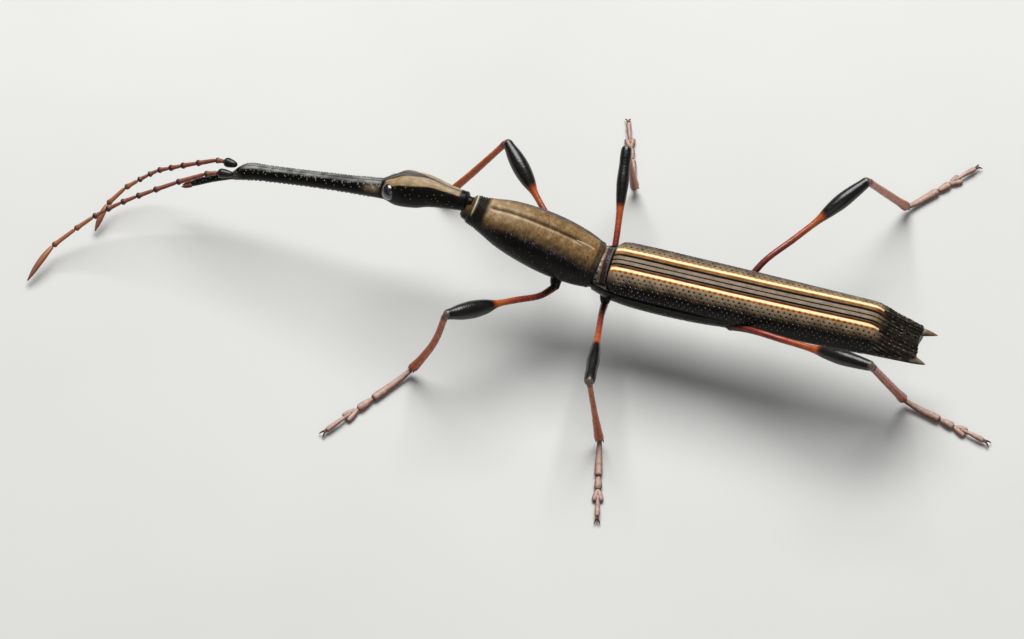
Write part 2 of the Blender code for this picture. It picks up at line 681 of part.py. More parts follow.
def make_tarsus(name, pair, side_name):
    _, _, ankle, toe = leg_joints(pair, side_name)
    side = SIDES[side_name]
    heading = POSE[pair, side_name][3]
    first, second, third = TARSUS_ENDS
    profile = (
        (0.0, 0.42, 1.0), (first * 0.35, 0.26, 1.0), (first * 0.8, 0.23, 1.08), (first * 0.98, 0.22, 1.16),
        (first + 0.03, 0.22, 0.92), (second - 0.01, 0.22, 1.16), (second + 0.03, 0.22, 0.92),
        (third - 0.03, 0.24, 1.0), (third + 0.02, 0.27, 0.84), (0.93, 0.29, 0.9), (1.0, 0.25, 0.84),
    )
    flat_ankle = Vector((ankle.x, ankle.y, 0.0))
    flat_toe = Vector((toe.x, toe.y, 0.0))
    points = [flat_ankle.lerp(flat_toe, t) + Vector((0.0, 0.0, height * MM)) for t, height, _ in profile]
    tarsus = tube(name, points, [LEG_RADIUS * radius for _, _, radius in profile])
    across = direction(heading + 90.0, 0.0, side)
    extras = []
    for spread in (-1, 1):
        near = flat_ankle.lerp(flat_toe, second + 0.02) + across * spread * 0.04 * MM
        far = flat_ankle.lerp(flat_toe, third) + across * spread * 0.20 * MM
        lift = Vector((0.0, 0.0, 0.19 * MM))
        lobe = [near + lift, near.lerp(far, 0.6) + lift, far + lift]
        extras.append(tube("lobe", lobe, [LOBE_RADIUS * 0.7, LOBE_RADIUS, LOBE_RADIUS * 0.7]))
        extras.append(claw_tube(toe, heading, side, spread * CLAW_SPREAD))
    join(tarsus, extras)
    return cut(tarsus, [floor_block(), tibia_tube("tibia_clearance", pair, side_name, GAP)])


def thorax_clearance(grow):
    outlines = []
    for x in distances(THORAX_SHAPE, THORAX_SECTIONS):
        half_width, depth = (value * MM + grow for value in between(THORAX_SHAPE, x))
        outline = oval(0.0, 0.0, half_width, depth, CLEARANCE_POINTS)
        outlines.append([BASE + Vector((x * MM, point.y, EDGE_RISE + point.z)) for point in outline])
    stretch_end(outlines, -1, -2, grow + THORAX_OVERRUN)
    stretch_end(outlines, 0, 1, grow)
    return loft("thorax_clearance", outlines)


def prothorax_clearance(grow):
    return prothorax_shell("prothorax_clearance", grow=grow)


def make_pterothorax():
    thorax = make_underside("pterothorax", THORAX_SHAPE, THORAX_SECTIONS)
    join(thorax, [make_ring()])
    return cut(thorax, [prothorax_clearance(GAP)])


def make_abdomen():
    abdomen = make_underside("abdomen", ABDOMEN_SHAPE, ABDOMEN_SECTIONS)
    return cut(abdomen, [femur_tube("femur_clearance", "hind", side_name, GAP) for side_name in SIDES])


def dress(obj, material):
    obj.data.materials.clear()
    obj.data.materials.append(material)


def make_body():
    black = finish_material("black_shell", (0.012, 0.011, 0.010), 0.28)
    bronze = finish_material("bronze_shell", (0.055, 0.036, 0.022), 0.38)
    striped = finish_material("elytra_shell", (0.050, 0.038, 0.028), 0.36)
    eye_black = finish_material("eye_black", (0.010, 0.008, 0.008), 0.12)
    horn = finish_material("reddish_horn", (0.120, 0.030, 0.015), 0.30)
    for side_name, side in SIDES.items():
        dress(make_elytron(f"elytron_{side_name}", side_name), striped)
        dress(make_eye(f"eye_{side_name}", side), eye_black)
        dress(make_mandible(f"mandible_{side_name}", side), horn)
    dress(make_pterothorax(), black)
    dress(make_abdomen(), black)
    dress(prothorax_shell("prothorax", groove=MEDIAN_GROOVE), bronze)
    dress(make_head(), bronze)
    dress(make_rostrum(), black)


def make_antennae():
    black = finish_material("antenna_black", (0.014, 0.012, 0.012), 0.30)
    red_brown = finish_material("antenna_red_brown", (0.130, 0.035, 0.018), 0.42)
    for side_name in SIDES:
        dress(make_scape(f"antenna_scape_{side_name}", side_name), black)
        dress(make_funicle(f"antenna_funicle_{side_name}", side_name), red_brown)
        dress(make_club(f"antenna_club_{side_name}", side_name), red_brown)


def make_legs():
    black = finish_material("coxa_black", (0.016, 0.013, 0.012), 0.34)
    red = finish_material("leg_red", (0.200, 0.045, 0.018), 0.34)
    mauve = finish_material("tarsus_brown", (0.160, 0.060, 0.048), 0.48)
    for pair, side_name in POSE:
        body = prothorax_clearance if pair == "front" else thorax_clearance
        ending = f"{pair}_{side_name}"
        dress(make_coxa(f"coxa_{ending}", pair, side_name, body), black)
        dress(make_femur(f"femur_{ending}", pair, side_name), red)
        dress(make_tibia(f"tibia_{ending}", pair, side_name), red)
        dress(make_tarsus(f"tarsus_{ending}", pair, side_name), mauve)


clear_scene()
BEETLE = new_collection("ithystenus_hollandiae")
make_body()
make_antennae()
make_legs()
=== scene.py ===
"""A long-snouted brentid weevil, Ithystenus hollandiae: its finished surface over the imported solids.

Lengths are in millimetres, and become metres when a mesh is made. The beetle's head points to -X,
its left side to -Y and its back to +Z, as in the solids.
"""

import math

import bpy
import numpy as np
from mathutils import Matrix, Vector


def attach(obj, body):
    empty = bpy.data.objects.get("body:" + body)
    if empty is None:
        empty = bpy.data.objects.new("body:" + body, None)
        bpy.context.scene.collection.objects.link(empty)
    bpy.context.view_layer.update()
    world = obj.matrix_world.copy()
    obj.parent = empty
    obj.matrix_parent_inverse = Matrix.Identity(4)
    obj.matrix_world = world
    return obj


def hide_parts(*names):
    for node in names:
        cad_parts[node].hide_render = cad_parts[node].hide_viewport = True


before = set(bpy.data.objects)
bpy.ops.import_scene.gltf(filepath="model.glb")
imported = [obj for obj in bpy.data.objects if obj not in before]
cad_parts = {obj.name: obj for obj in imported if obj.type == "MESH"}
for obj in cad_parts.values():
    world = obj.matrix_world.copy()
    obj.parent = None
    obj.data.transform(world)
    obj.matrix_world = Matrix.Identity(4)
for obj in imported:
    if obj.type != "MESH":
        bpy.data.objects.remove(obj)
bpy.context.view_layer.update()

MM = 0.001
BODY = "root"
SIDES = {"left": -1, "right": 1}
FULL_TURN = 2 * math.pi

# Camera: the point on the floor that it looks at, and where it stands from there
CAMERA_TARGET = (-0.35, -2.83, 0.0)
CAMERA_DISTANCE = 214.8
CAMERA_ELEVATION = 57.0
CAMERA_AZIMUTH = 16.5
CAMERA_LENS = 146.6
SENSOR_WIDTH = 36.0

# Lamps: place, size and watts; and the strength of the even light from all round
LAMPS = {"key": ((-30.0, 115.0, 215.0), 170.0, 0.88), "fill": ((120.0, -200.0, 160.0), 220.0, 0.08)}
SKY_STRENGTH = 0.15

# The hinge of the body: the middle of the elytra's front edge, as in the solids
BASE = np.array((4.51, -1.35, 4.5))
EDGE_RISE = 0.27

# Elytra: distance back, half width, height of the back above the side edge
ELYTRA_SHAPE = (
    (0.0, 1.2, 0.72), (0.3, 1.44, 0.88), (1.2, 1.52, 0.95), (4.0, 1.53, 1.02), (8.0, 1.5, 1.14),
    (12.0, 1.4, 1.34), (13.0, 1.38, 1.38), (13.6, 1.36, 1.34), (14.1, 1.29, 1.06), (14.6, 1.21, 0.77),
    (15.95, 0.99, 0.25),
)
# The power to which sine and cosine are raised: below 1 it makes the section squarer than an oval
ELYTRA_POWER = 2 / 2.8
ELYTRA_LENGTH = 15.95
ELYTRON_ROWS = 720
ELYTRON_COLUMNS = 100
SUTURE_GAP = 0.012
FLOOR_DEPTH = 0.02
TAIL_START = 13.0
TAIL_LENGTH = 2.95
TAIL_DEPTH = 0.5
# Where the elytron's rear edge lies: distance from the suture, distance back
TAIL_EDGE = ((0.0, 15.87), (0.3, 15.91), (0.55, 15.97), (0.75, 16.0), (0.95, 15.88), (1.3, 15.7))
STRETCH_START = 13.9
STRIPE_END = 13.77
PIT_ROWS = 7
PIT_FIRST = 0.715
PIT_ROW_STEP = 0.205
PIT_SPACING = 0.29
PIT_RADIUS = 0.066
PIT_DEPTH = 0.035
# Pale glints painted beside the pits as highlights: the first row of pits that has them, and their radius
FIRST_GLINT_ROW = 2
GLINT_RADIUS = 0.03
STRIPE_MIDDLE = 0.585
STRIPE_HALF = 0.105
FINE_SPACING = 0.09
KEEL_SPACING = 0.21
SPINE_ROOT = (15.25, 0.74, -0.06)
SPINE_TIP = {-1: (16.5, 1.0, 0.0), 1: (16.7, 0.86, 0.0)}

# Underside: distance back, half width, depth below the side edge
THORAX_SHAPE = (
    (-0.8, 1.2, 1.64), (0.3, 1.5, 1.93), (2.0, 1.6, 2.1), (4.5, 1.59, 2.0), (6.2, 1.49, 1.8),
)
ABDOMEN_SHAPE = (
    (6.3, 1.45, 1.64), (9.0, 1.41, 1.4), (12.0, 1.32, 1.2), (13.0, 1.27, 1.1), (14.0, 1.12, 0.95),
    (14.8, 0.85, 0.8),
)
VENTRITES = (6.9, 9.3, 11.4, 12.5, 13.4)
# How far each part of the underside runs on into the next
OVERLAP = 0.15
RING_RADIUS = 1.12
RING_RISE = 0.05

# Prothorax: its frame, then distance forward, rise of the middle, half width and half height
PROTHORAX_BACK = (-0.82, 0.04, 0.02)
PROTHORAX_PITCH = 16.0
PROTHORAX_YAW = 1.8
PROTHORAX_SHAPE = (
    (0.0, 0.0, 1.18, 1.18), (0.35, 0.0, 1.29, 1.29), (0.9, 0.02, 1.41, 1.4), (1.7, 0.05, 1.5, 1.49),
    (2.6, 0.07, 1.54, 1.52), (3.5, 0.09, 1.5, 1.48), (4.4, 0.1, 1.4, 1.38), (5.2, 0.1, 1.25, 1.23),
    (5.9, 0.1, 1.04, 1.02), (6.4, 0.1, 0.88, 0.87), (6.58, 0.11, 0.83, 0.82), (6.85, 0.11, 0.79, 0.78),
    (7.02, 0.09, 0.73, 0.72), (7.08, 0.06, 0.64, 0.63), (7.3, 0.03, 0.56, 0.55), (7.42, 0.01, 0.43, 0.42),
)
# Where its grooved disc ends, where its collar is in full, and where the neck starts and is in full
DISC_END, COLLAR, NECK, NECK_FULL = 6.15, 6.45, 6.78, 6.86
# Rows of black dots on its back: distance from the middle line, spacing, radius
BLACK_DOTS = ((0.55, 0.42, 0.05), (0.85, 0.36, 0.045))

# Head: its frame, then distance forward, rise of the middle, half width and half height
HEAD_BACK = (-7.95, 0.36, 2.38)
HEAD_PITCH = -7.4
HEAD_YAW = 0.3
HEAD_ROLL = 20.0
HEAD_SHAPE = (
    (-0.5, -0.02, 0.3, 0.3), (-0.24, 0.0, 0.36, 0.36), (-0.2, 0.02, 0.5, 0.5), (-0.05, 0.04, 0.51, 0.51),
    (0.7, 0.12, 0.59, 0.61), (1.7, 0.26, 0.76, 0.8), (2.4, 0.22, 0.88, 0.93), (3.1, 0.19, 0.92, 0.96),
    (3.6, 0.07, 0.8, 0.83), (4.0, 0.03, 0.64, 0.66), (4.3, -0.02, 0.53, 0.53),
)
EYE_CENTRE = (3.78, 0.44, 0.16)
EYE_RADIUS = 0.45

# Rostrum: its frame, then distance forward, rise of the middle, half width and half height
ROSTRUM_BACK = (-12.22, 0.35, 1.84)
ROSTRUM_PITCH = -13.4
ROSTRUM_SHAPE = (
    (0.0, -0.02, 0.54, 0.54), (0.7, -0.01, 0.49, 0.5), (1.7, 0.01, 0.44, 0.45), (2.8, 0.05, 0.42, 0.43),
    (4.4, 0.09, 0.39, 0.41), (6.4, 0.13, 0.4, 0.42), (7.1, 0.15, 0.43, 0.43), (7.6, 0.1, 0.46, 0.42),
    (7.95, 0.0, 0.42, 0.36), (8.4, -0.2, 0.3, 0.26), (8.7, -0.3, 0.27, 0.25), (9.6, -0.54, 0.27, 0.25),
    (10.6, -0.88, 0.26, 0.25), (10.9, -1.0, 0.22, 0.22),
)
SNOUT_HALF_WIDTH = 0.42
# Rows of grains and of specks along the snout: distance from its middle line, spacing, radius
SNOUT_GRAINS = ((0.31, 0.15, 0.06), (1.15, 0.25, 0.085), (1.3, 0.25, 0.08))
SNOUT_SPECKS = ((0.36, 0.44, 0.034), (0.5, 0.46, 0.03))
MANDIBLE_LENGTH = 0.5
# Along a mandible: share of its length, distance from the middle, drop
MANDIBLE_PATH = ((0.0, 0.14, 0.0), (0.6, 0.16, 0.12), (1.0, 0.08, 0.2))

# Antennae: where each joint is, from the hinge of the body
ANTENNA_JOINTS = {
    "left": (
        (-20.2, -0.02, 0.28), (-21.05, -0.06, 0.16), (-21.75, -0.2, -0.08), (-23.12, -0.7, -0.68),
        (-24.23, -1.2, -1.15), (-25.07, -1.58, -1.53), (-25.81, -1.95, -1.88), (-26.51, -2.38, -2.23),
        (-27.1, -2.8, -2.55), (-27.88, -3.51, -3.0), (-28.78, -4.5, -3.5), (-29.5, -6.55, -4.12),
    ),
    "right": (
        (-20.2, 0.62, 0.25), (-20.97, 0.72, 0.15), (-21.45, 0.8, -0.06), (-22.54, 0.78, -0.75),
        (-23.4, 0.72, -1.25), (-24.07, 0.66, -1.65), (-24.68, 0.58, -1.98), (-25.15, 0.35, -2.27),
        (-25.63, 0.05, -2.55), (-26.23, -0.36, -2.92), (-26.94, -1.21, -3.5), (-27.2, -2.6, -4.15),
    ),
}
FUNICLE_START = 1
CLUB_START = 8
SABRE_RISE = 0.12

# Legs: where each pair leaves the body, and the lengths of its pieces
HIP = {"front": (-2.72, 1.07, -1.15), "middle": (-0.1, 0.96, -1.67), "hind": (6.45, 1.15, -0.65)}
INSET_RISE = 0.25
FEMUR_LENGTH = {"front": 6.8, "middle": 6.68, "hind": 8.5}
TIBIA_LENGTH = {"front": 5.6, "middle": 4.75, "hind": 7.0}
TARSUS_LENGTH = {"front": 5.55, "middle": 4.35, "hind": 4.6}
STALK_SHARE = {"front": 0.56, "middle": 0.5, "hind": 0.64}
CLUB_RADIUS = {"front": 0.45, "middle": 0.32, "hind": 0.39}
STALK_RADIUS = 0.165
TIBIA_RADIUS = {"front": 0.18, "middle": 0.15, "hind": 0.2}
FEMUR_BOW = {
    ("front", "left"): (0.29, 0.0),
    ("front", "right"): (0.07, 0.0),
    ("middle", "left"): (-0.05, 0.0),
    ("middle", "right"): (-0.12, 0.0),
    ("hind", "left"): (-0.33, 0.68),
    ("hind", "right"): (-0.15, 0.45),
}
TIBIA_BOW = {("front", "left"): 0.26, ("front", "right"): 0.05}
ANKLE_HEIGHT = 0.45
FOOT_HEIGHT = 0.23
# Which way each leg goes, in degrees out from straight ahead towards its own side:
# femur, how steeply the femur climbs, tibia, tarsus
POSE = {
    ("front", "left"): (47.1, 20.6, 12.5, 56.2),
    ("front", "right"): (46.2, 13.3, -23.4, -1.0),
    ("middle", "left"): (98.4, 20.2, 155.4, 104.4),
    ("middle", "right"): (79.4, 20.0, 111.0, 70.0),
    ("hind", "left"): (164.3, 20.2, 239.1, 165.9),
    ("hind", "right"): (126.5, 17.7, 119.0, 129.0),
}
# Tarsus: the share of its length at which each of its first three joints ends
FIRST, SECOND, THIRD = (0.46, 0.63, 0.78)
LOBE_RADII = ((0, 0.08, 0.08), (0.5, 0.15, 0.14), (1, 0.13, 0.12))
# Its joints: the path of each (share of the length, height, place across), its radii and its seed
FOOT_JOINTS = (
    (((-0.02, 0.44, 0), (FIRST * 0.4, 0.25, 0), (FIRST, 0.21, 0)),
     ((0, 0.12, 0.12), (0.3, 0.15, 0.14), (0.8, 0.2, 0.18), (1, 0.21, 0.19)), 230),
    (((FIRST - 0.01, 0.2, 0), (SECOND, 0.2, 0)),
     ((0, 0.1, 0.1), (0.5, 0.19, 0.17), (1, 0.21, 0.18)), 231),
    (((SECOND - 0.01, 0.19, 0), (SECOND + 0.07, 0.17, -0.1), (THIRD, 0.15, -0.2)), LOBE_RADII, 231),
    (((SECOND - 0.01, 0.19, 0), (SECOND + 0.07, 0.17, 0.1), (THIRD, 0.15, 0.2)), LOBE_RADII, 233),
    (((SECOND + 0.06, 0.24, 0), (THIRD + 0.05, 0.29, 0), (0.93, 0.28, 0), (1.0, 0.24, 0)),
     ((0, 0.07, 0.07), (0.3, 0.09, 0.09), (0.85, 0.14, 0.13), (1, 0.12, 0.12)), 235),
)
CLAW_LENGTH = 0.38
CLAW_SPREAD = 24.0


# Curves and fields

def smooth(stations, where):
    """The values at the given places, read smoothly from rows of (place, values...) (Catmull-Rom)."""
    table = np.array(stations, float)
    places, values = table[:, 0], table[:, 1:]
    slopes = np.gradient(values, places, axis=0)
    slopes[1:-1] = (values[2:] - values[:-2]) / (places[2:] - places[:-2])[:, None]
    where = np.clip(where, places[0], places[-1])
    i = np.clip(np.searchsorted(places, where) - 1, 0, len(places) - 2)
    span = (places[i + 1] - places[i])[..., None]
    t = (where - places[i])[..., None] / span
    return (
        values[i] * (2 * t**3 - 3 * t**2 + 1)
        + slopes[i] * span * (t**3 - 2 * t**2 + t)
        + values[i + 1] * (3 * t**2 - 2 * t**3)
        + slopes[i + 1] * span * (t**3 - t**2)
    )


def step(low, high, value):
    """0 below low, 1 above high, smooth between; high may be the smaller one."""
    t = np.clip((value - low) / (high - low), 0.0, 1.0)
    return t * t * (3 - 2 * t)


def hill(value, centre, half):
    return np.exp(-(((value - centre) / half) ** 2))


def plateau(value, low, high, soft):
    return step(low - soft, low + soft, value) * step(high + soft, high - soft, value)


def wobble(seed, length, *axes, waves=7):
    """A smooth random field from about -1 to 1, its waves about the given length."""
    rng = np.random.default_rng(seed)
    total = 0.0
    for _ in range(waves):
        turn = rng.normal(size=len(axes))
        turn *= rng.uniform(0.6, 1.6) * FULL_TURN / length / np.linalg.norm(turn)
        total = total + np.sin(sum(k * axis for k, axis in zip(turn, axes)) + rng.uniform(0, FULL_TURN))
    return total * 1.6 / waves


def dots(seed, along, across, centre, spacing, radius, jitter=0.2):
    """Round spots in a row along a surface, each 1 at its middle and 0 from its radius outwards."""
    rng = np.random.default_rng(seed)
    first = int(along.min() / spacing) - 1
    count = int(along.max() / spacing) - first + 3
    shift = rng.uniform(-jitter, jitter, (count, 2)) * spacing
    size = rng.uniform(0.8, 1.15, count) * radius
    i = np.rint(along / spacing).astype(int) - first
    away = (along - (i + first) * spacing - shift[i, 0]) ** 2 + (across - centre - shift[i, 1] * 0.5) ** 2
    return np.clip(1 - away / size[i] ** 2, 0.0, 1.0)


def topmost(fields):
    """The highest of several fields at each point."""
    return np.maximum.reduce(list(fields))


def lumps(seed, length, points):
    """A random field over the points of a piece, its waves about the given length."""
    return wobble(seed, length, *np.moveaxis(points, -1, 0))


def round_rod(*stations):
    """Stations of a round rod, from rows of (share, radius)."""
    return [(share, radius, radius) for share, radius in stations]


# Meshes

def raised(points, height):
    """A grid of rows of points round a piece, each moved out from the surface by its height."""
    along = np.gradient(points, axis=0)
    across = np.roll(points, -1, axis=1) - np.roll(points, 1, axis=1)
    normals = np.cross(across, along)
    normals /= np.linalg.norm(normals, axis=2, keepdims=True) + 1e-12
    outward = np.sign(np.einsum("ijk,ijk->", normals, points - points.mean(axis=1, keepdims=True)))
    return points + outward * normals * height[..., None]


def patch(grid, **masks):
    """A closed skin over a grid of rows of points, as points, quads, triangles and masks."""
    rows, columns = grid.shape[:2]
    index = np.arange(rows * columns).reshape(rows, columns)
    turned = np.roll(index, -1, axis=1)
    quads = np.stack([index[:-1], turned[:-1], turned[1:], index[1:]], axis=-1).reshape(-1, 4)
    ends = rows * columns
    first = np.stack([np.full(columns, ends), turned[0], index[0]], axis=-1)
    last = np.stack([np.full(columns, ends + 1), index[-1], turned[-1]], axis=-1)
    points = np.concatenate([grid.reshape(-1, 3), [grid[0].mean(axis=0)], [grid[-1].mean(axis=0)]])
    flat = {}
    for name, mask in masks.items():
        mask = np.clip(np.broadcast_to(mask, (rows, columns)), 0.0, 1.0)
        flat[name] = np.concatenate([mask.reshape(-1), [mask[0].mean()], [mask[-1].mean()]])
    triangles = np.concatenate([first, last])
    corners = np.concatenate([quads[:, [0, 1, 2]], quads[:, [0, 2, 3]], triangles])
    centred = points - points.mean(axis=0)
    a, b, c = (centred[corners[:, k]] for k in range(3))
    if np.einsum("ij,ij->", a, np.cross(b, c)) < 0:
        quads, triangles = quads[:, ::-1], triangles[:, ::-1]
    return points, quads, triangles, flat


def make_piece(name, patches, material, slot, *nodes):
    """One object from its patches, which rides on the body and stands for the nodes."""
    faces, start = [], 0
    for points, quads, triangles, _ in patches:
        faces += (quads + start).tolist() + (triangles + start).tolist()
        start += len(points)
    mesh = bpy.data.meshes.new(name)
    mesh.from_pydata(np.concatenate([points for points, *_ in patches]) * MM, [], faces)
    for mask in sorted({mask for *_, masks in patches for mask in masks}):
        values = [masks.get(mask, np.zeros(len(points))) for points, *_, masks in patches]
        layer = mesh.attributes.new(mask, "FLOAT", "POINT")
        layer.data.foreach_set("value", np.concatenate(values).astype(np.float32))
    mesh.shade_smooth()
    mesh.materials.append(material)
    piece = bpy.data.objects.new(name, mesh)
    bpy.context.scene.collection.objects.link(piece)
    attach(piece, BODY)
    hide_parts(*nodes)


def body_point(place):
    return BASE + np.array(place, float)


def part_frame(back, pitch, yaw=0.0, roll=0.0):
    """A frame whose X runs forward, Y to the beetle's left and Z up, then rolled to its right."""
    turn = Matrix.Rotation(math.pi - math.radians(yaw), 4, "Z")
    lift = Matrix.Rotation(-math.radians(pitch), 4, "Y")
    bank = Matrix.Rotation(math.radians(roll), 4, "X")
    return np.array(Matrix.Translation(Vector(body_point(back))) @ turn @ lift @ bank)


def placed(matrix, points):
    return points @ matrix[:3, :3].T + matrix[:3, 3]


HEAD_FRAME = part_frame(HEAD_BACK, HEAD_PITCH, HEAD_YAW, HEAD_ROLL)
ROSTRUM_FRAME = part_frame(ROSTRUM_BACK, ROSTRUM_PITCH, HEAD_YAW, HEAD_ROLL)


def shell_grid(stations, distance, columns):
    """Ovals along a body part: distance forward, angle from the top (positive to its left), points."""
    angle = np.linspace(-math.pi, math.pi, columns, endpoint=False)
    d, a = np.meshgrid(distance, angle, indexing="ij")
    values = smooth(stations, distance)
    rise, half_width, half_height = (values[:, k, None] for k in range(3))
    points = np.stack([d, half_width * np.sin(a), rise + half_height * np.cos(a)], axis=-1)
    return d, a, points


def rod_grid(path, stations, rows, columns):
    """Ovals along a path: share of its length, angle from its top, points, and the length.

    A station is a share of the length, the half width and the half height there.
    """
    path = np.array(path, float)
    reach = np.concatenate([[0.0], np.cumsum(np.linalg.norm(np.diff(path, axis=0), axis=1))])
    length = reach[-1]
    even = np.linspace(0.0, 1.0, rows)
    share = even - 0.35 * np.sin(FULL_TURN * even) / FULL_TURN
    centre = smooth(np.column_stack([reach / length, path]), share)
    tangent = np.gradient(centre, axis=0)
    tangent /= np.linalg.norm(tangent, axis=1, keepdims=True)
    across = np.cross((0.0, 0.0, 1.0), tangent)
    across /= np.linalg.norm(across, axis=1, keepdims=True)
    top = np.cross(tangent, across)
    half = smooth(stations, share)
    cap = np.minimum(np.minimum(share, 1 - share) * length / half.max(axis=1), 1.0)
    half = half * np.sqrt(np.clip(1 - (1 - cap) ** 2, 0.0004, 1.0))[:, None]
    angle = np.linspace(-math.pi, math.pi, columns, endpoint=False)
    t, a = np.meshgrid(share, angle, indexing="ij")
    points = (
        centre[:, None]
        + across[:, None] * (half[:, :1] * np.sin(angle))[..., None]
        + top[:, None] * (half[:, 1:2] * np.cos(angle))[..., None]
    )
    return t, a, points, length


def ball_grid(centre, radius, rows, columns):
    """The points of rings round a ball, from its bottom to its top."""
    tilt = np.linspace(0.001, math.pi - 0.001, rows)
    turn = np.linspace(0, FULL_TURN, columns, endpoint=False)
    u, v = np.meshgrid(tilt, turn, indexing="ij")
    points = np.stack([np.sin(u) * np.cos(v), np.sin(u) * np.sin(v), -np.cos(u)], axis=-1)
    return np.array(centre) + points * radius


# Materials

class Finish:
    """A node material in the making: each call adds a node and gives back its output."""

    def __init__(self, name, **constants):
        self.material = bpy.data.materials.new(name)
        self.material.use_nodes = True
        self.tree = self.material.node_tree
        self.shader = self.tree.nodes["Principled BSDF"]
        self.place = self.node("ShaderNodeTexCoord").outputs["Object"]
        for socket, value in constants.items():
            self.shader.inputs[socket.replace("_", " ")].default_value = value

    def join(self, socket, value):
        """Joins an input to an output, or sets it. A colour gets its alpha here."""
        if isinstance(value, bpy.types.NodeSocket):
            self.tree.links.new(value, socket)
        else:
            socket.default_value = (*value, 1.0) if socket.type == "RGBA" else value

    def node(self, kind, **inputs):
        """A new node with its inputs joined or set. An underscore stands for a space in their names."""
        made = self.tree.nodes.new(kind)
        for name, value in inputs.items():
            self.join(made.inputs[name.replace("_", " ")], value)
        return made

    def noise(self, size, detail=3.0, rough=0.55, stretch=(1.0, 1.0, 1.0)):
        """Noise whose lumps are about the given size in millimetres."""
        place = self.node("ShaderNodeMapping", Vector=self.place, Scale=stretch).outputs["Vector"]
        scale = 1 / (size * MM)
        made = self.node("ShaderNodeTexNoise", Vector=place, Scale=scale, Detail=detail, Roughness=rough)
        return made.outputs["Fac"]

    def cells(self, size):
        made = self.node("ShaderNodeTexVoronoi", Vector=self.place, Scale=1 / (size * MM))
        return made.outputs["Distance"]

    def spread(self, value, low, high, to_low=0.0, to_high=1.0):
        limits = {"From_Min": low, "From_Max": high, "To_Min": to_low, "To_Max": to_high}
        return self.node("ShaderNodeMapRange", Value=value, **limits).outputs["Result"]

    def patches(self, size, detail=3.0, rough=0.55):
        """Soft patches of about the given size in millimetres, from 0 to 1."""
        return self.spread(self.noise(size, detail, rough), 0.3, 0.7)

    def blend(self, share, a, b):
        made = self.node("ShaderNodeMix")
        made.data_type = "RGBA"
        for socket, value in ((made.inputs["Factor"], share), (made.inputs[6], a), (made.inputs[7], b)):
            self.join(socket, value)
        return made.outputs[2]

    def tint(self, share, ground, **colours):
        """The ground with the colour of each mask over it. A list of two is blended by the share."""
        colour = self.blend(share, *ground)
        for name, over in colours.items():
            mask = self.node("ShaderNodeAttribute")
            mask.attribute_name = name
            over = self.blend(share, *over) if isinstance(over, list) else over
            colour = self.blend(mask.outputs["Fac"], colour, over)
        return colour

    def finish(self, colour, roughness, grain, depth=0.004):
        """Joins up the colour, the roughness (size of its patches, least, most) and the grain's bump."""
        size, least, most = roughness
        rough = self.spread(self.noise(size), 0.3, 0.7, least, most)
        bump = self.node("ShaderNodeBump", Distance=depth * MM, Height=grain).outputs["Normal"]
        for name, value in {"Base Color": colour, "Roughness": rough, "Normal": bump}.items():
            self.join(self.shader.inputs[name], value)
        return self.material


def black_shell_material():
    made = Finish("black_shell", Specular_IOR_Level=0.12)
    patchy = made.spread(made.noise(0.6), 0.35, 0.65)
    colour = made.tint(
        patchy, [(0.003, 0.0028, 0.0026), (0.0075, 0.006, 0.0045)],
        # Painted sheen and glints: pale greyish over the black
        grey=[(0.12, 0.12, 0.12), (0.38, 0.38, 0.36)],
        purple=(0.04, 0.022, 0.028),
        tan=[(0.2, 0.13, 0.07), (0.42, 0.32, 0.2)],
        pale=(0.62, 0.6, 0.54),
        orange=(0.42, 0.2, 0.045),
    )
    return made.finish(colour, (0.15, 0.2, 0.34), made.noise(0.05, 4.0), 0.003)


def bronze_material():
    made = Finish("bronze_shell", Specular_IOR_Level=0.12)
    patchy = made.patches(0.45, 4.0)
    bronze = made.blend(patchy, (0.17, 0.094, 0.032), (0.33, 0.2, 0.08))
    fine = made.spread(made.noise(0.07, 3.0, 0.6, (1.0, 0.35, 1.0)), 0.42, 0.72)
    colour = made.tint(
        patchy, [(0.003, 0.0026, 0.002), (0.008, 0.006, 0.004)],
        # Bronze: the head's band, and on the prothorax a painted lit top over black sides
        bronze=made.blend(fine, bronze, (0.09, 0.056, 0.03)),
        gold=[(0.38, 0.26, 0.14), (0.6, 0.46, 0.29)],
        # Painted glints and sheen, pale greyish
        grey=(0.2, 0.19, 0.18),
        dark=(0.012, 0.009, 0.006),
        violet=(0.22, 0.17, 0.4),
        pale=(0.66, 0.61, 0.5),
        orange=(0.7, 0.28, 0.03),
    )
    return made.finish(colour, (0.12, 0.28, 0.42), made.noise(0.045, 4.0))


def elytra_material():
    made = Finish("elytra_shell", Specular_IOR_Level=0.12)
    patchy = made.patches(0.35, 4.0)
    golden = made.spread(made.noise(0.18, 4.0), 0.35, 0.85)
    # Among these colours, painted light: the brown of the flanks' lit tops, the near-black shade in pits,
    # groove and suture, and the pale glints
    colour = made.tint(
        patchy, [(0.003, 0.0026, 0.002), (0.009, 0.007, 0.005)],
        brown=[(0.19, 0.125, 0.07), (0.33, 0.245, 0.155)],
        groove=[(0.22, 0.04, 0.008), (0.62, 0.17, 0.025)],
        rim=[(0.52, 0.17, 0.025), (0.8, 0.42, 0.12)],
        stripe=made.blend(golden, (0.92, 0.66, 0.3), (0.82, 0.46, 0.14)),
        core=(0.98, 0.88, 0.62),
        pit=(0.0025, 0.002, 0.002),
        orange=(0.42, 0.12, 0.018),
        pale=(0.5, 0.46, 0.38),
        yellow=(0.42, 0.37, 0.22),
        violet=(0.16, 0.15, 0.32),
    )
    return made.finish(colour, (0.1, 0.26, 0.42), made.noise(0.04, 4.0), 0.003)


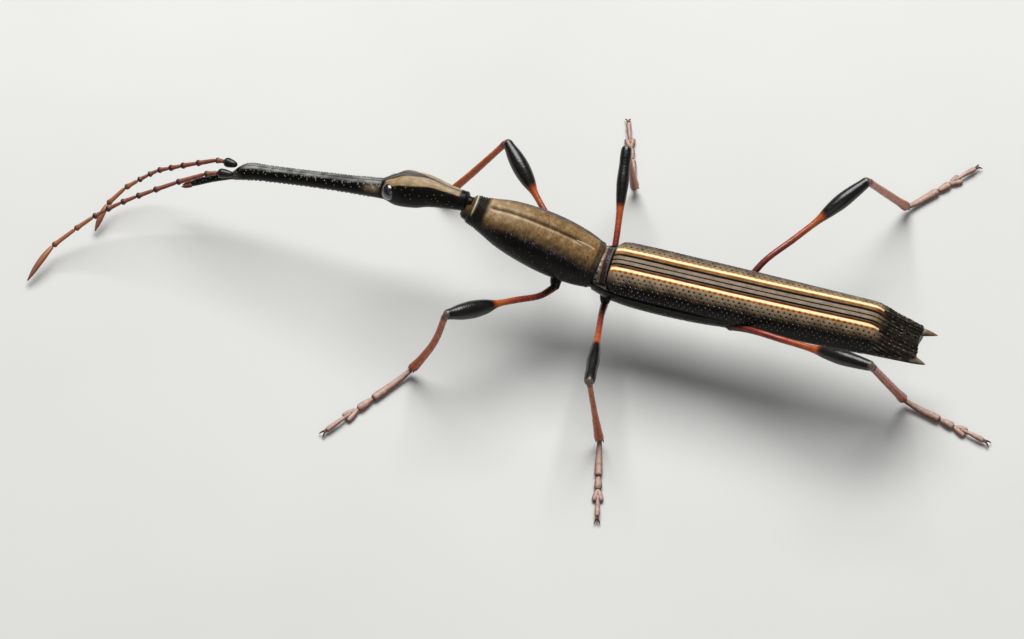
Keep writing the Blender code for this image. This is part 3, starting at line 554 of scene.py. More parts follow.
def eye_material():
    made = Finish("eye_black", Specular_IOR_Level=1.0, Coat_Weight=1.0, Coat_Roughness=0.05)
    patchy = made.spread(made.noise(0.25), 0.4, 0.7)
    colour = made.tint(patchy, [(0.004, 0.004, 0.005), (0.01, 0.009, 0.01)], rim=(0.16, 0.035, 0.015))
    return made.finish(colour, (0.08, 0.12, 0.2), made.cells(0.035), 0.003)


def horn_material():
    made = Finish("reddish_horn", Specular_IOR_Level=0.45)
    colour = made.blend(made.patches(0.12), (0.03, 0.01, 0.008), (0.16, 0.045, 0.02))
    return made.finish(colour, (0.05, 0.22, 0.36), made.noise(0.03), 0.003)


def antenna_material(name, red, deep):
    made = Finish(name, Specular_IOR_Level=0.4)
    colour = made.tint(
        made.patches(0.16, 4.0), [deep, red],
        orange=(0.4, 0.13, 0.025),
        # Painted highlight, pale pinkish
        mauve=(0.44, 0.26, 0.22),
        dark=(0.02, 0.007, 0.005),
    )
    return made.finish(colour, (0.06, 0.28, 0.44), made.noise(0.035, 4.0))


def leg_material():
    made = Finish("leg_red", Specular_IOR_Level=0.5)
    patchy = made.patches(0.4, 4.0, 0.6)
    colour = made.tint(
        patchy, [(0.13, 0.01, 0.006), (0.3, 0.03, 0.012)],
        orange=[(0.3, 0.042, 0.004), (0.5, 0.11, 0.01)],
        # Dark: the legs' own darker parts, and painted shade on the undersides of femur and tibia
        dark=(0.03, 0.006, 0.004),
        # Painted highlight, pale pinkish
        mauve=(0.4, 0.16, 0.13),
        black=[(0.004, 0.003, 0.003), (0.009, 0.007, 0.006)],
        pale=(0.3, 0.22, 0.16),
    )
    return made.finish(colour, (0.12, 0.22, 0.34), made.noise(0.08, 2.0), 0.0015)


def tarsus_material():
    made = Finish("tarsus_brown", Specular_IOR_Level=0.35)
    patchy = made.patches(0.2, 4.0)
    colour = made.tint(
        patchy, [(0.14, 0.036, 0.018), (0.26, 0.09, 0.05)],
        # Pale hair and a painted highlight
        dust=[(0.4, 0.25, 0.2), (0.6, 0.45, 0.38)],
        dark=(0.075, 0.018, 0.009),
    )
    return made.finish(colour, (0.06, 0.34, 0.52), made.noise(0.04, 4.0), 0.006)


# Elytra

def elytra_floor(row):
    """How high the elytra's under side lies at the given distances back."""
    return -FLOOR_DEPTH - TAIL_DEPTH * np.clip((row[:, None] - TAIL_START) / TAIL_LENGTH, 0, 1)


def elytron_section():
    """The elytron's even cross-section: for each top column, the arc from the suture and the angle."""
    _, half_width, height = ELYTRA_SHAPE[4]
    angle = (np.linspace(0.0, 1.0, 4001) ** 1.6) * math.pi / 2
    y = half_width * np.sin(angle) ** ELYTRA_POWER
    z = height * np.cos(angle) ** ELYTRA_POWER
    arc = np.concatenate([[0.0], np.cumsum(np.hypot(np.diff(y), np.diff(z)))])
    columns = np.linspace(0.0, arc[-1], ELYTRON_COLUMNS)
    return columns, np.interp(columns, arc, angle)


def elytron_pits(x, arc):
    """The rows of pits on an elytron's flank, and the pale glints painted beside them as highlights."""
    pits, pit_glint = np.zeros_like(x), np.zeros_like(x)
    for row in range(PIT_ROWS):
        centre = PIT_FIRST + PIT_ROW_STEP * row + (0.012 if row == 0 else 0.0)
        along = x + 0.5 * PIT_SPACING * (row % 2)
        pits = np.maximum(pits, dots(40 + row, along, arc, centre, PIT_SPACING, PIT_RADIUS, 0.06))
        if row >= FIRST_GLINT_ROW:
            near = dots(50 + row, along + 0.03, arc, centre + 0.03, PIT_SPACING, GLINT_RADIUS, 0.06)
            pit_glint = np.maximum(pit_glint, near * (wobble(60 + row, 0.7, x, arc) > -0.4))
    return pits, pit_glint


def elytron_relief(x, arc):
    """How far each point stands out of the even surface, and the masks of its colours."""
    front = step(0.05, 0.7, x)
    end = step(STRIPE_END + 0.05, STRIPE_END - 0.45, x)
    stripe_part = step(0.0, 0.12, x) * (x < STRIPE_END + 0.12)
    tail = step(13.6, 14.2, x)
    body = 1 - tail
    y = arc + 0.006 * wobble(11, 1.6, x, arc)
    fine = np.sin(FULL_TURN * (x + 0.8 * arc) / FINE_SPACING + 1.4 * wobble(12, 0.5, x, arc))
    inner = plateau(y, 0.025, 0.215, 0.012)
    # This groove is painted black as shade falling in it
    shaded_groove = plateau(y, 0.24, 0.305, 0.015)
    ridge = hill(y, 0.36, 0.04)
    red_groove = hill(y, 0.44, 0.034)
    half = STRIPE_HALF * (0.4 + 0.6 * end)
    top, low = STRIPE_MIDDLE - half, STRIPE_MIDDLE + half
    beads = 0.5 + 0.5 * np.cos(FULL_TURN * x / PIT_SPACING + 1.2 * wobble(13, 1.0, x, arc))
    cream_low = STRIPE_MIDDLE + half * (0.72 - 0.34 * beads)
    cream = plateau(y, STRIPE_MIDDLE - half * 0.8, cream_low, 0.012) * stripe_part
    pits, pit_glint = elytron_pits(x, arc)
    pits = pits * front * body
    keels = 0.5 + 0.5 * np.cos(FULL_TURN * (arc - 0.08) / KEEL_SPACING)
    grains = wobble(14, 0.16, x * 0.5, arc) + wobble(15, 0.1, x, arc)
    height = inner * (0.005 * fine + 0.004) - 0.03 * hill(y, 0.0, 0.018)
    height += body * front * (0.03 * ridge - 0.06 * shaded_groove - 0.062 * red_groove)
    height += stripe_part * 0.05 * plateau(y, top, low, 0.02)
    height -= PIT_DEPTH * step(0.0, 0.7, pits)
    height += tail * (0.06 * keels - 0.03 + 0.014 * grains)
    # Painted light and shade: the flank is brown on its top and fades to black towards the side edge; the
    # brown between suture and grooves is the shell's own colour
    top_lit = step(1.5, 0.72, arc + 0.1 * wobble(18, 1.1, x, arc)) * (arc > 0.655)
    brown = inner * (0.75 + 0.3 * fine) + 0.45 * ridge + 0.9 * top_lit + 0.25 * tail * keels
    shoulder = hill(x, 0.9, 0.8) * step(0.75, 0.95, arc)
    streaks = step(0.2, 0.8, wobble(19, 0.5, x * 0.35, arc))
    return height, dict(
        brown=np.clip(brown, 0, 1) * (1 - 0.92 * tail),
        groove=np.clip(1.3 * red_groove, 0, 1) * body * (0.6 + 0.4 * step(13.8, 3.0, x)),
        rim=plateau(y, top - 0.03, low + 0.03, 0.015) * stripe_part,
        stripe=cream,
        core=cream * hill(y, STRIPE_MIDDLE - 0.01, 0.045) * (0.8 + 0.2 * wobble(16, 0.5, x, arc)),
        # Painted shade: near-black in the pits, in the shaded groove and along the suture
        pit=step(0.2, 0.6, pits) * (arc > 0.8) + body * shaded_groove + hill(y, 0.0, 0.016),
        orange=step(0.05, 0.4, pits) * (arc < 0.8) * stripe_part,
        # Painted highlights: pale glints beside the pits, and pale highlights on the grains along the
        # keels of the tail
        pale=0.8 * step(0.2, 0.7, pit_glint) * step(1.0, 1.3, arc) * body * front
        + 0.6 * tail * keels * (grains > 1.0),
        yellow=0.8 * tail * step(0.6, 0.95, keels) * hill(arc, 1.55, 0.35) * streaks,
        violet=shoulder * (wobble(17, 0.12, x, arc) > 0.9),
    )


def elytron_patch(side):
    arc_top, angle = elytron_section()
    row = np.linspace(0.0, ELYTRA_LENGTH, ELYTRON_ROWS)
    half_width, high = (smooth(ELYTRA_SHAPE, row)[:, k, None] for k in range(2))
    y = half_width * np.sin(angle) ** ELYTRA_POWER
    z = high * np.cos(angle) ** ELYTRA_POWER
    depth = elytra_floor(row)
    under_share = np.linspace(0.97, 0.0, 12)
    under_y = half_width * under_share
    under_z = np.broadcast_to(depth, under_y.shape) * 1.0
    wall_share = np.array((0.25, 0.5, 0.8))
    wall_y = np.zeros((len(row), 3))
    wall_z = depth + (high - depth) * wall_share
    y = np.concatenate([y, under_y, wall_y], axis=1) + SUTURE_GAP
    z = np.concatenate([z, under_z, wall_z], axis=1)
    tail_edge = smooth(TAIL_EDGE, np.minimum(y, TAIL_EDGE[-1][0]))[..., 0]
    past = np.clip(row[:, None] - STRETCH_START, 0, None) / (ELYTRA_LENGTH - STRETCH_START)
    x = np.minimum(row[:, None], STRETCH_START) + past * (tail_edge - STRETCH_START)
    points = np.stack([x, side * y, z + EDGE_RISE], axis=-1) + BASE
    top = slice(0, len(arc_top))
    steps = np.hypot(np.diff(y[:, top], axis=1), np.diff(z[:, top], axis=1))
    grid_arc = np.pad(np.cumsum(steps, axis=1), ((0, 0), (1, 0)))
    height, masks = elytron_relief(x[:, top], grid_arc)
    rest = ((0, 0), (0, points.shape[1] - len(arc_top)))
    edge = step(0.0, 0.02, grid_arc) * step(0.0, 0.06, grid_arc[:, -1:] - grid_arc)
    height = np.pad(height * edge, rest)
    masks = {name: np.pad(mask * np.ones_like(edge), rest) for name, mask in masks.items()}
    return patch(raised(points, height), **masks)


def spine_patch(side):
    root = np.array(SPINE_ROOT) * (1, side, 1)
    tip = np.array(SPINE_TIP[side]) * (1, side, 1)
    bend = np.array((0.0, side * 0.03, 0.05))
    path = [body_point(root), body_point(root * 0.5 + tip * 0.5) + bend, body_point(tip)]
    t, a, points, _ = rod_grid(path, round_rod((0, 0.24), (0.5, 0.2), (0.8, 0.11), (1, 0.02)), 60, 24)
    height = 0.006 * lumps(21, 0.2, points) * (1 - t)
    # Painted light: pale and brown only on the spine's top, where light falls
    lit = step(0.0, 0.8, np.cos(a))
    return patch(
        raised(points, height),
        pale=0.8 * hill(t, 0.45, 0.1) * lit,
        brown=0.8 * lit * step(0.4, 0.6, t),
        orange=0.5 * step(0.85, 0.95, t),
    )


def make_elytra(material):
    for name, side in SIDES.items():
        patches = [elytron_patch(side), spine_patch(side)]
        make_piece(f"wing_case_{name}", patches, material, "elytra_shell", f"elytron_{name}")


# Prothorax, head and rostrum

def prothorax_relief(d, off):
    """Its relief and masks, from the distances forward and from the middle line."""
    arc = np.abs(off)
    neck = step(NECK, NECK_FULL, d)
    collar = step(DISC_END, COLLAR, d) * (1 - neck)
    disc = 1 - collar - neck
    groove_part = step(1.0, 1.5, d) * step(6.25, 6.0, d)
    line = off + 0.012 * wobble(31, 1.5, d, off)
    wrinkle = wobble(32, 0.13, d * 0.45, off) + 0.6 * wobble(33, 0.07, d * 0.6, off)
    specks = topmost(
        dots(70 + k, d + 0.1 * (k % 2), arc, 1.55 + 0.17 * k, 0.24, 0.034, 0.35)
        * (wobble(80 + k, 0.6, d, off) > 0.25)
        for k in range(10)
    )
    black_dots = topmost(dots(68 + k, d, arc, *row, 0.45) for k, row in enumerate(BLACK_DOTS))
    height = 0.03 * hill(d, 0.1, 0.07) - 0.085 * hill(line, 0.0, 0.11) * groove_part
    height += collar * (0.016 * np.cos(FULL_TURN * d / 0.13) + 0.01 * wrinkle) + neck * 0.003 * wrinkle
    height += disc * (0.006 * wrinkle * step(2.4, 1.0, arc) - 0.01 * specks)
    # Painted light and shade: bronze and gold only on the top of the disc, fading to black at the sides
    lit_dorsum = step(1.4, 0.45, arc + 0.09 * wobble(34, 0.5, d, off)) * disc
    thread = hill(line, 0.0, 0.022) * plateau(d, 0.55, 1.55, 0.05)
    gold = 0.25 * step(0.0, 1.0, wobble(35, 0.7, d, off)) + 0.35 * step(3.4, 5.6, d) * step(1.1, 0.3, arc)
    dark = 0.95 * hill(line, 0.0, 0.075) * groove_part + 0.75 * step(0.42, 0.3, d) + 0.9 * collar
    pale = 0.45 * step(0.4, 0.9, specks) * disc + 0.7 * thread
    return height, dict(
        # Painted light on the neck: bronze on its top only
        bronze=lit_dorsum + 0.45 * neck * step(0.9, 0.3, arc),
        gold=lit_dorsum * (gold + 0.5 * hill(line, 0.19, 0.06) * groove_part),
        # Painted glints: greyish on the tops of the collar's wrinkles
        grey=0.8 * collar * (wrinkle > 0.9),
        dark=dark + 0.7 * step(0.3, 0.8, black_dots) * step(2.6, 0.6, d),
        violet=hill(arc, 1.18, 0.2) * (wobble(36, 0.12, d, off) > 0.75) * disc,
        # Pale specks on the disc, and a painted highlight as a pale streak over the top of the neck
        pale=pale + 0.8 * step(0.9, 0.5, arc) * hill(d, 6.92, 0.03),
        orange=hill(d, 0.62, 0.05) * hill(off, 0.05, 0.05),
    )


def make_prothorax(material):
    distance = np.linspace(0.0, PROTHORAX_SHAPE[-1][0], 430)
    d, a, points = shell_grid(PROTHORAX_SHAPE, distance, 220)
    height, masks = prothorax_relief(d, a * smooth(PROTHORAX_SHAPE, distance)[:, 1:2])
    matrix = part_frame(PROTHORAX_BACK, PROTHORAX_PITCH, PROTHORAX_YAW)
    skin = patch(placed(matrix, raised(points, height)), **masks)
    make_piece("pronotum", [skin], material, "bronze_shell", "prothorax")


def make_head(material):
    distance = np.linspace(HEAD_SHAPE[0][0], HEAD_SHAPE[-1][0], 280)
    d, a, points = shell_grid(HEAD_SHAPE, distance, 160)
    off = a * smooth(HEAD_SHAPE, distance)[:, 1:2]
    arc, turn = np.abs(off), np.abs(a)
    capsule = step(0.05, 0.2, d)
    height = capsule * (-0.035 * hill(off, 0.0, 0.03) + 0.02 * hill(turn, 0.17, 0.08))
    height += 0.006 * wobble(41, 0.1, d * 0.3, off) * capsule
    specks = topmost(dots(90 + k, d + 0.2 * k, arc, 0.72 + 0.2 * k, 0.5, 0.026, 0.4) for k in range(4))
    low = -0.05 + 0.32 * step(1.0, 3.4, d)
    high = 0.62 + 0.24 * step(0.6, 3.2, d)
    band = plateau(turn + 0.02 * wobble(43, 0.9, d, off), low, high, 0.05) * capsule * step(4.15, 3.95, d)
    scratch = (wobble(44, 0.11, d, off * 0.3) > 1.15) * step(2.4, 2.9, d) * band
    dark = 0.9 * hill(off, 0.0, 0.035) + 0.85 * hill(turn, low, 0.05) + 0.7 * scratch
    skin = patch(
        placed(HEAD_FRAME, raised(points, height)),
        bronze=band + 0.35 * hill(turn, 0.24, 0.06) * capsule,
        gold=band * (0.55 + 0.2 * wobble(42, 0.3, d * 0.4, off)),
        # Painted sheen: greyish along the top of the head
        grey=0.55 * step(0.3, 0.15, turn) * capsule,
        dark=np.clip(dark, 0, 1) * capsule,
        pale=0.6 * step(0.3, 0.8, specks) * (1 - band) * capsule,
    )
    make_piece("head_capsule", [skin], material, "bronze_shell", "head")


def make_rostrum(material):
    d, a, points = shell_grid(ROSTRUM_SHAPE, np.linspace(0.0, ROSTRUM_SHAPE[-1][0], 620), 80)
    near = step(8.0, 7.4, d)
    side = np.abs(a)
    across = side * SNOUT_HALF_WIDTH
    height = -0.035 * hill(side, 0.16, 0.08) * near - 0.02 * hill(side, 0.5, 0.09) * near
    grains = topmost(dots(100 + k, d, across, *row, 0.2) for k, row in enumerate(SNOUT_GRAINS))
    height += 0.035 * np.sqrt(grains) * step(8.2, 7.6, d) * step(0.3, 0.9, d)
    height += 0.004 * wobble(51, 0.12, d, side) - 0.06 * step(8.1, 8.6, d)
    specks = topmost(dots(110 + k, d + 0.2 * k, across, *row, 0.3) for k, row in enumerate(SNOUT_SPECKS))
    row = step(0.15, 0.5, grains) * (side < 1.0) * near * (wobble(52, 0.5, d, side) > -0.9)
    skin = patch(
        placed(ROSTRUM_FRAME, raised(points, height)),
        # Painted sheen: greyish along the top of the snout, off its grooves
        grey=0.9 * step(0.7, 0.4, side) * near * (1 - hill(side, 0.16, 0.07)),
        pale=0.9 * step(0.3, 0.8, specks) + 0.35 * row * (wobble(53, 0.3, d, side) > 0.2),
        tan=hill(d, 0.45, 0.35) * hill(side, 1.15, 0.35) + 0.25 * hill(d, 8.1, 0.25) * (side > 1.0),
    )
    make_piece("snout", [skin], material, "black_shell", "rostrum")


def make_eyes(material):
    distance, across, rise = EYE_CENTRE
    for name, side in SIDES.items():
        centre = (distance, -side * across, rise)
        points = ball_grid(centre, EYE_RADIUS, 48, 72)
        rim = step(0.3, 0.42, points[..., 0] - distance)
        skin = patch(placed(HEAD_FRAME, points), rim=rim)
        make_piece(f"eye_dome_{name}", [skin], material, "eye_black", f"eye_{name}")


def make_mandibles(material):
    root = np.array((ROSTRUM_SHAPE[-1][0] - 0.1, 0.0, ROSTRUM_SHAPE[-1][1]))
    reach = MANDIBLE_LENGTH + 0.2
    radii = ((0, 0.12, 0.1), (0.55, 0.1, 0.085), (0.85, 0.06, 0.05), (1, 0.015, 0.015))
    for name, side in SIDES.items():
        path = [root + (share * reach, -side * out, -drop) for share, out, drop in MANDIBLE_PATH]
        t, a, points, _ = rod_grid(placed(ROSTRUM_FRAME, np.array(path)), radii, 40, 20)
        skin = patch(raised(points, 0.008 * hill(t, 0.6, 0.06) * step(0.2, 0.8, np.sin(a) * side)))
        make_piece(f"jaw_{name}", [skin], material, "reddish_horn", f"mandible_{name}")


# Antennae

def antenna_points(side_name):
    return [body_point(joint) for joint in ANTENNA_JOINTS[side_name]]


def bead_patch(start, end, stalk, knob, seed, orange=0.0):
    """One joint of an antenna, thin at its root and swollen at its end."""
    swell = min(0.32 / np.linalg.norm(end - start), 0.4)
    radii = round_rod(
        (0.0, stalk * 0.7), (0.06, stalk * 0.85), (0.45, stalk), (1 - swell, stalk * 1.12),
        (1 - swell * 0.4, knob), (1.0, knob * 0.8),
    )
    t, a, points, _ = rod_grid([start, (start + end) / 2, end], radii, 44, 22)
    points = raised(points, 0.006 * lumps(seed, 0.1, points))
    dark = np.clip(step(1 - swell, 1 - swell * 0.6, t) + 0.5 * step(0.1, 0.02, t), 0, 1)
    # A painted highlight along the top of each bead
    mauve = 0.25 * step(0.6, 1.0, np.cos(a)) * (1 - dark)
    return patch(points, dark=0.9 * dark * (1 - 0.6 * orange), orange=orange, mauve=mauve)


def make_scape(side_name, material):
    start, end = antenna_points(side_name)[:2]
    path = [start, (start + end) / 2, end + (end - start) * 0.03]
    radii = round_rod((0, 0.1), (0.12, 0.15), (0.5, 0.23), (0.8, 0.245), (1, 0.17))
    _, _, points, _ = rod_grid(path, radii, 60, 36)
    skin = patch(raised(points, 0.004 * lumps(120, 0.12, points)), dark=0.2)
    make_piece(f"scape_{side_name}", [skin], material, "antenna_black", f"antenna_scape_{side_name}")


def bead_patches(joints, stalks, knob, seed, orange=0.0):
    """The beads between the joints of an antenna, each reaching a little into the next."""
    return [
        bead_patch(start, end + (end - start) * 0.02, stalk, knob, seed + k, orange)
        for k, (start, end, stalk) in enumerate(zip(joints, joints[1:], stalks))
    ]


def make_funicle(side_name, material):
    joints = antenna_points(side_name)[FUNICLE_START : CLUB_START + 1]
    stalks = [0.12 - 0.004 * k for k in range(len(joints))]
    patches = bead_patches(joints, stalks, 0.17, 130)
    node = f"antenna_funicle_{side_name}"
    make_piece(f"funicle_{side_name}", patches, material, "antenna_red_brown", node)


def make_club(side_name, material):
    joints = antenna_points(side_name)[CLUB_START:]
    patches = bead_patches(joints[:-1], [0.11] * len(joints), 0.16, 140, orange=0.7)
    start, end = joints[-2], joints[-1]
    rise = np.array((0.0, 0.0, SABRE_RISE))
    path = [start, start * 0.7 + end * 0.3 + rise * 0.9, start * 0.4 + end * 0.6 + rise, end]
    radii = ((0, 0.08, 0.08), (0.06, 0.11, 0.1), (0.35, 0.165, 0.13), (0.7, 0.14, 0.11), (1, 0.03, 0.03))
    t, a, points, _ = rod_grid(path, radii, 90, 24)
    sabre = patch(
        raised(points, 0.006 * lumps(150, 0.1, points)),
        dark=0.5 * step(0.75, 1.0, t),
        orange=0.5 * step(0.8, 0.1, t),
        # A painted highlight along the sabre's top
        mauve=0.25 * step(0.6, 1.0, np.cos(a)),
    )
    patches.append(sabre)
    make_piece(f"club_{side_name}", patches, material, "antenna_red_brown", f"antenna_club_{side_name}")


# Legs

def direction(heading, climb, side):
    """A unit vector, its heading measured out from straight ahead towards the given side."""
    level = math.cos(math.radians(climb))
    return np.array((
        -level * math.cos(math.radians(heading)),
        side * level * math.sin(math.radians(heading)),
        math.sin(math.radians(climb)),
    ))


def leg_joints(pair, side_name):
    """Where a leg's hip, knee, ankle and foot's end are."""
    side = SIDES[side_name]
    femur_heading, femur_climb, tibia_heading, tarsus_heading = POSE[pair, side_name]
    x, y, z = HIP[pair]
    hip = body_point((x, side * y, z))
    knee = hip + direction(femur_heading, femur_climb, side) * FEMUR_LENGTH[pair]
    fall = math.degrees(math.asin((knee[2] - ANKLE_HEIGHT) / TIBIA_LENGTH[pair]))
    ankle = knee + direction(tibia_heading, -fall, side) * TIBIA_LENGTH[pair]
    toe = ankle + direction(tarsus_heading, 0.0, side) * TARSUS_LENGTH[pair]
    toe[2] = FOOT_HEIGHT
    return hip, knee, ankle, toe


def make_femur(pair, side_name, material):
    hip, knee, _, _ = leg_joints(pair, side_name)
    share, club = STALK_SHARE[pair], CLUB_RADIUS[pair]
    back, up = FEMUR_BOW[pair, side_name]
    bow = direction(POSE[pair, side_name][0] + 90.0, 0.0, SIDES[side_name]) * back + (0.0, 0.0, up)
    swell = 1.0 - share
    # Along the femur: share of its length, radius, share of the bow
    profile = (
        (0.0, 0.2, 0.0), (share * 0.3, STALK_RADIUS, 1.0), (share * 0.65, STALK_RADIUS, 0.65),
        (share * 0.95, STALK_RADIUS * 1.1, 0.4), (share + swell * 0.2, club * 0.82, 0.38),
        (share + swell * 0.45, club, 0.3), (share + swell * 0.7, club * 0.9, 0.18),
        (share + swell * 0.9, 0.29, 0.06), (1.02, 0.24, 0.0),
    )
    path = [hip + (knee - hip) * t + bow * bend for t, _, bend in profile]
    t, a, points, length = rod_grid(path, [(t / 1.02, r, r) for t, r, _ in profile], 240, 40)
    stalk = step(share + swell * 0.08, share * 0.96, t)
    rings = np.sin(FULL_TURN * t * length / 0.085 + 1.5 * wobble(201, 0.4, t * length, a))
    height = 0.004 * lumps(200, 0.12, points)
    height += 0.006 * rings * stalk * step(share * 0.5, share * 0.9, t)
    lit = step(0.5, 1.0, np.cos(a))
    skin = patch(
        raised(points, height),
        black=step(share * 0.98, share + swell * 0.1, t),
        # Dark: the stalk's darker root, and painted shade along its underside
        dark=np.clip(0.8 * step(share * 0.55, 0.05, t) + 0.6 * step(0.2, 0.9, -np.cos(a)), 0, 1) * stalk,
        # A painted highlight along the lit top of the stalk
        mauve=0.2 * step(0.75, 1.0, lit) * stalk * (0.75 + 0.25 * wobble(202, 0.3, t * length, a)),
        orange=0.9 * step(share * 0.55, share * 0.9, t),
        pale=0.4 * step(0.965, 0.985, t),
    )
    make_piece(f"thigh_{pair}_{side_name}", [skin], material, "leg_red", f"femur_{pair}_{side_name}")


def spur_patch(root, down, aside):
    path = [root, root + down * 0.16 + aside * 0.03, root + down * 0.3 + aside * 0.04]
    _, _, spur, _ = rod_grid(path, round_rod((0, 0.05), (0.5, 0.035), (1, 0.008)), 16, 10)
    spur[..., 2] = np.maximum(spur[..., 2], 0.01)
    return patch(spur, dark=1.0)


def make_tibia(pair, side_name, material):
    _, knee, ankle, _ = leg_joints(pair, side_name)
    stem = TIBIA_RADIUS[pair]
    radii = (
        (0.0, 0.14, 0.14), (0.04, stem, stem), (0.12, stem * 0.92, stem * 0.95), (0.5, stem, stem * 1.05),
        (0.8, 0.2, 0.22), (0.95, 0.23, 0.26), (1.0, 0.2, 0.23),
    )
    bow = np.array((TIBIA_BOW.get((pair, side_name), 0.0), 0.0, 0.0))
    path = [knee, knee * 0.55 + ankle * 0.45 + bow, knee * 0.2 + ankle * 0.8 + bow * 0.6, ankle]
    t, a, points, length = rod_grid(path, radii, 180, 36)
    pits = topmost(
        dots(212 + k, t * length + 0.1 * (k % 2), a * 0.2, -0.5 + 0.2 * k, 0.22, 0.035, 0.3)
        for k in range(6)
    )
    shin = patch(
        raised(points, 0.005 * lumps(210, 0.5, points) - 0.004 * pits),
        black=0.85 * step(0.04, 0.01, t),
        # Dark: the darker ankle end, and painted shade along the underside
        dark=0.85 * step(0.93, 0.99, t) + 0.6 * step(0.3, 0.9, -np.cos(a)),
        orange=0.95 * plateau(t, 0.05, 0.93, 0.04),
    )
    patches = [shin]
    down = (ankle - knee) / np.linalg.norm(ankle - knee)
    for spread in (-1, 1):
        aside = direction(POSE[pair, side_name][3] + 90.0, 0.0, SIDES[side_name]) * spread
        patches.append(spur_patch(ankle - down * 0.12 + aside * 0.16, down, aside))
    make_piece(f"shin_{pair}_{side_name}", patches, material, "leg_red", f"tibia_{pair}_{side_name}")


def make_coxa(pair, side_name, material):
    """The coxa and trochanter: a dark cone from inside the body to the root of the femur."""
    hip, knee, _, _ = leg_joints(pair, side_name)
    inward = np.array((hip[0], BASE[1], BASE[2] + INSET_RISE)) - hip
    inward /= np.linalg.norm(inward)
    out = (knee - hip) / np.linalg.norm(knee - hip)
    path = [hip + inward * 0.75, hip + inward * 0.3, hip, hip + out * 0.35]
    radii = round_rod((0, 0.28), (0.35, 0.3), (0.6, 0.23), (0.85, 0.18), (1, 0.15))
    t, a, points, _ = rod_grid(path, radii, 60, 44)
    points = raised(points, 0.006 * lumps(220, 0.15, points) - 0.03 * hill(t, 0.72, 0.04))
    # Tan: the membrane round the joint's groove, shown only on its top side as a painted highlight
    tan = 0.5 * hill(t, 0.72, 0.05) * step(0.0, 0.6, np.cos(a))
    skin = patch(points, tan=tan, orange=0.25 * step(0.7, 0.9, t))
    make_piece(f"hip_{pair}_{side_name}", [skin], material, "black_shell", f"coxa_{pair}_{side_name}")


def foot_patch(path, radii, seed):
    """One joint of a foot, flat below, with dark ends, and pale hair on its back painted as a highlight
    along the top.
    """
    t, a, points, _ = rod_grid(path, radii, 50, 26)
    points = raised(points, 0.007 * lumps(seed, 0.1, points))
    points[..., 2] = np.maximum(points[..., 2], 0.0)
    dark = 0.8 * np.clip(step(0.12, 0.0, t) + step(0.93, 1.0, t), 0, 1)
    # Pale hair on the back, painted only along the top as a highlight
    dust = 0.85 * step(0.35, 0.95, np.cos(a) + 0.2 * wobble(seed + 9, 0.3, t * 2, a)) * (1 - dark)
    return patch(points, dark=dark, dust=dust)


def make_tarsus(pair, side_name, material):
    _, _, ankle, toe = leg_joints(pair, side_name)
    across = direction(POSE[pair, side_name][3] + 90.0, 0.0, SIDES[side_name])
    patches = []
    for places, radii, seed in FOOT_JOINTS:
        path = [ankle + (toe - ankle) * share + across * aside for share, _, aside in places]
        for point, (_, height, _) in zip(path, places):
            point[2] = height
        patches.append(foot_patch(path, radii, seed))
    make_piece(f"foot_{pair}_{side_name}", patches, material, "tarsus_brown", f"tarsus_{pair}_{side_name}")


def make_claws(pair, side_name, material):
    toe = leg_joints(pair, side_name)[3]
    side = SIDES[side_name]
    heading = POSE[pair, side_name][3]
    forward = direction(heading, 0.0, side)
    across = direction(heading + 90.0, 0.0, side)
    claws = []
    for spread in (-1, 1):
        along = direction(heading + spread * CLAW_SPREAD, 0.0, side)
        path = [toe - forward * 0.08 + across * spread * 0.03]
        for share, lift in ((0.35, 0.05), (0.75, -0.03), (1.0, -0.16)):
            point = toe + along * CLAW_LENGTH * share
            point[2] = max(toe[2] + lift, 0.04)
            path.append(point)
        radii = round_rod((0, 0.06), (0.5, 0.045), (0.8, 0.028), (1, 0.008))
        claws.append(patch(rod_grid(path, radii, 30, 16)[2]))
    make_piece(f"claws_{pair}_{side_name}", claws, material, "reddish_horn", f"tarsus_{pair}_{side_name}")


# Underside

def underside_patch(stations, seed, sutures=()):
    row = np.linspace(stations[0][0], stations[-1][0] + OVERLAP, 260)
    half_width, depth = (smooth(stations, row)[:, k, None] for k in range(2))
    top = elytra_floor(row) - 0.05
    turn = np.linspace(0, math.pi, 90)
    y = half_width * np.cos(turn)
    z = top - (depth + top) * np.sin(turn)
    lid_share = np.linspace(-0.9, 0.9, 8)
    y = np.concatenate([y, half_width * lid_share], axis=1)
    z = np.concatenate([z, np.broadcast_to(top, (len(row), 8))], axis=1)
    x = np.broadcast_to(row[:, None], y.shape)
    points = np.stack([x, y, z + EDGE_RISE], axis=-1) + BASE
    pits = topmost(
        dots(seed + k, x + 0.12 * (k % 2), y + z, -2.2 + 0.28 * k, 0.26, 0.045, 0.3) for k in range(14)
    )
    height = -0.012 * pits + 0.006 * wobble(seed + 20, 0.3, x, y, z)
    for place in sutures:
        height -= 0.03 * hill(x, place, 0.035)
    open_part = np.arange(y.shape[1]) < len(turn)
    return patch(raised(points, height * open_part))


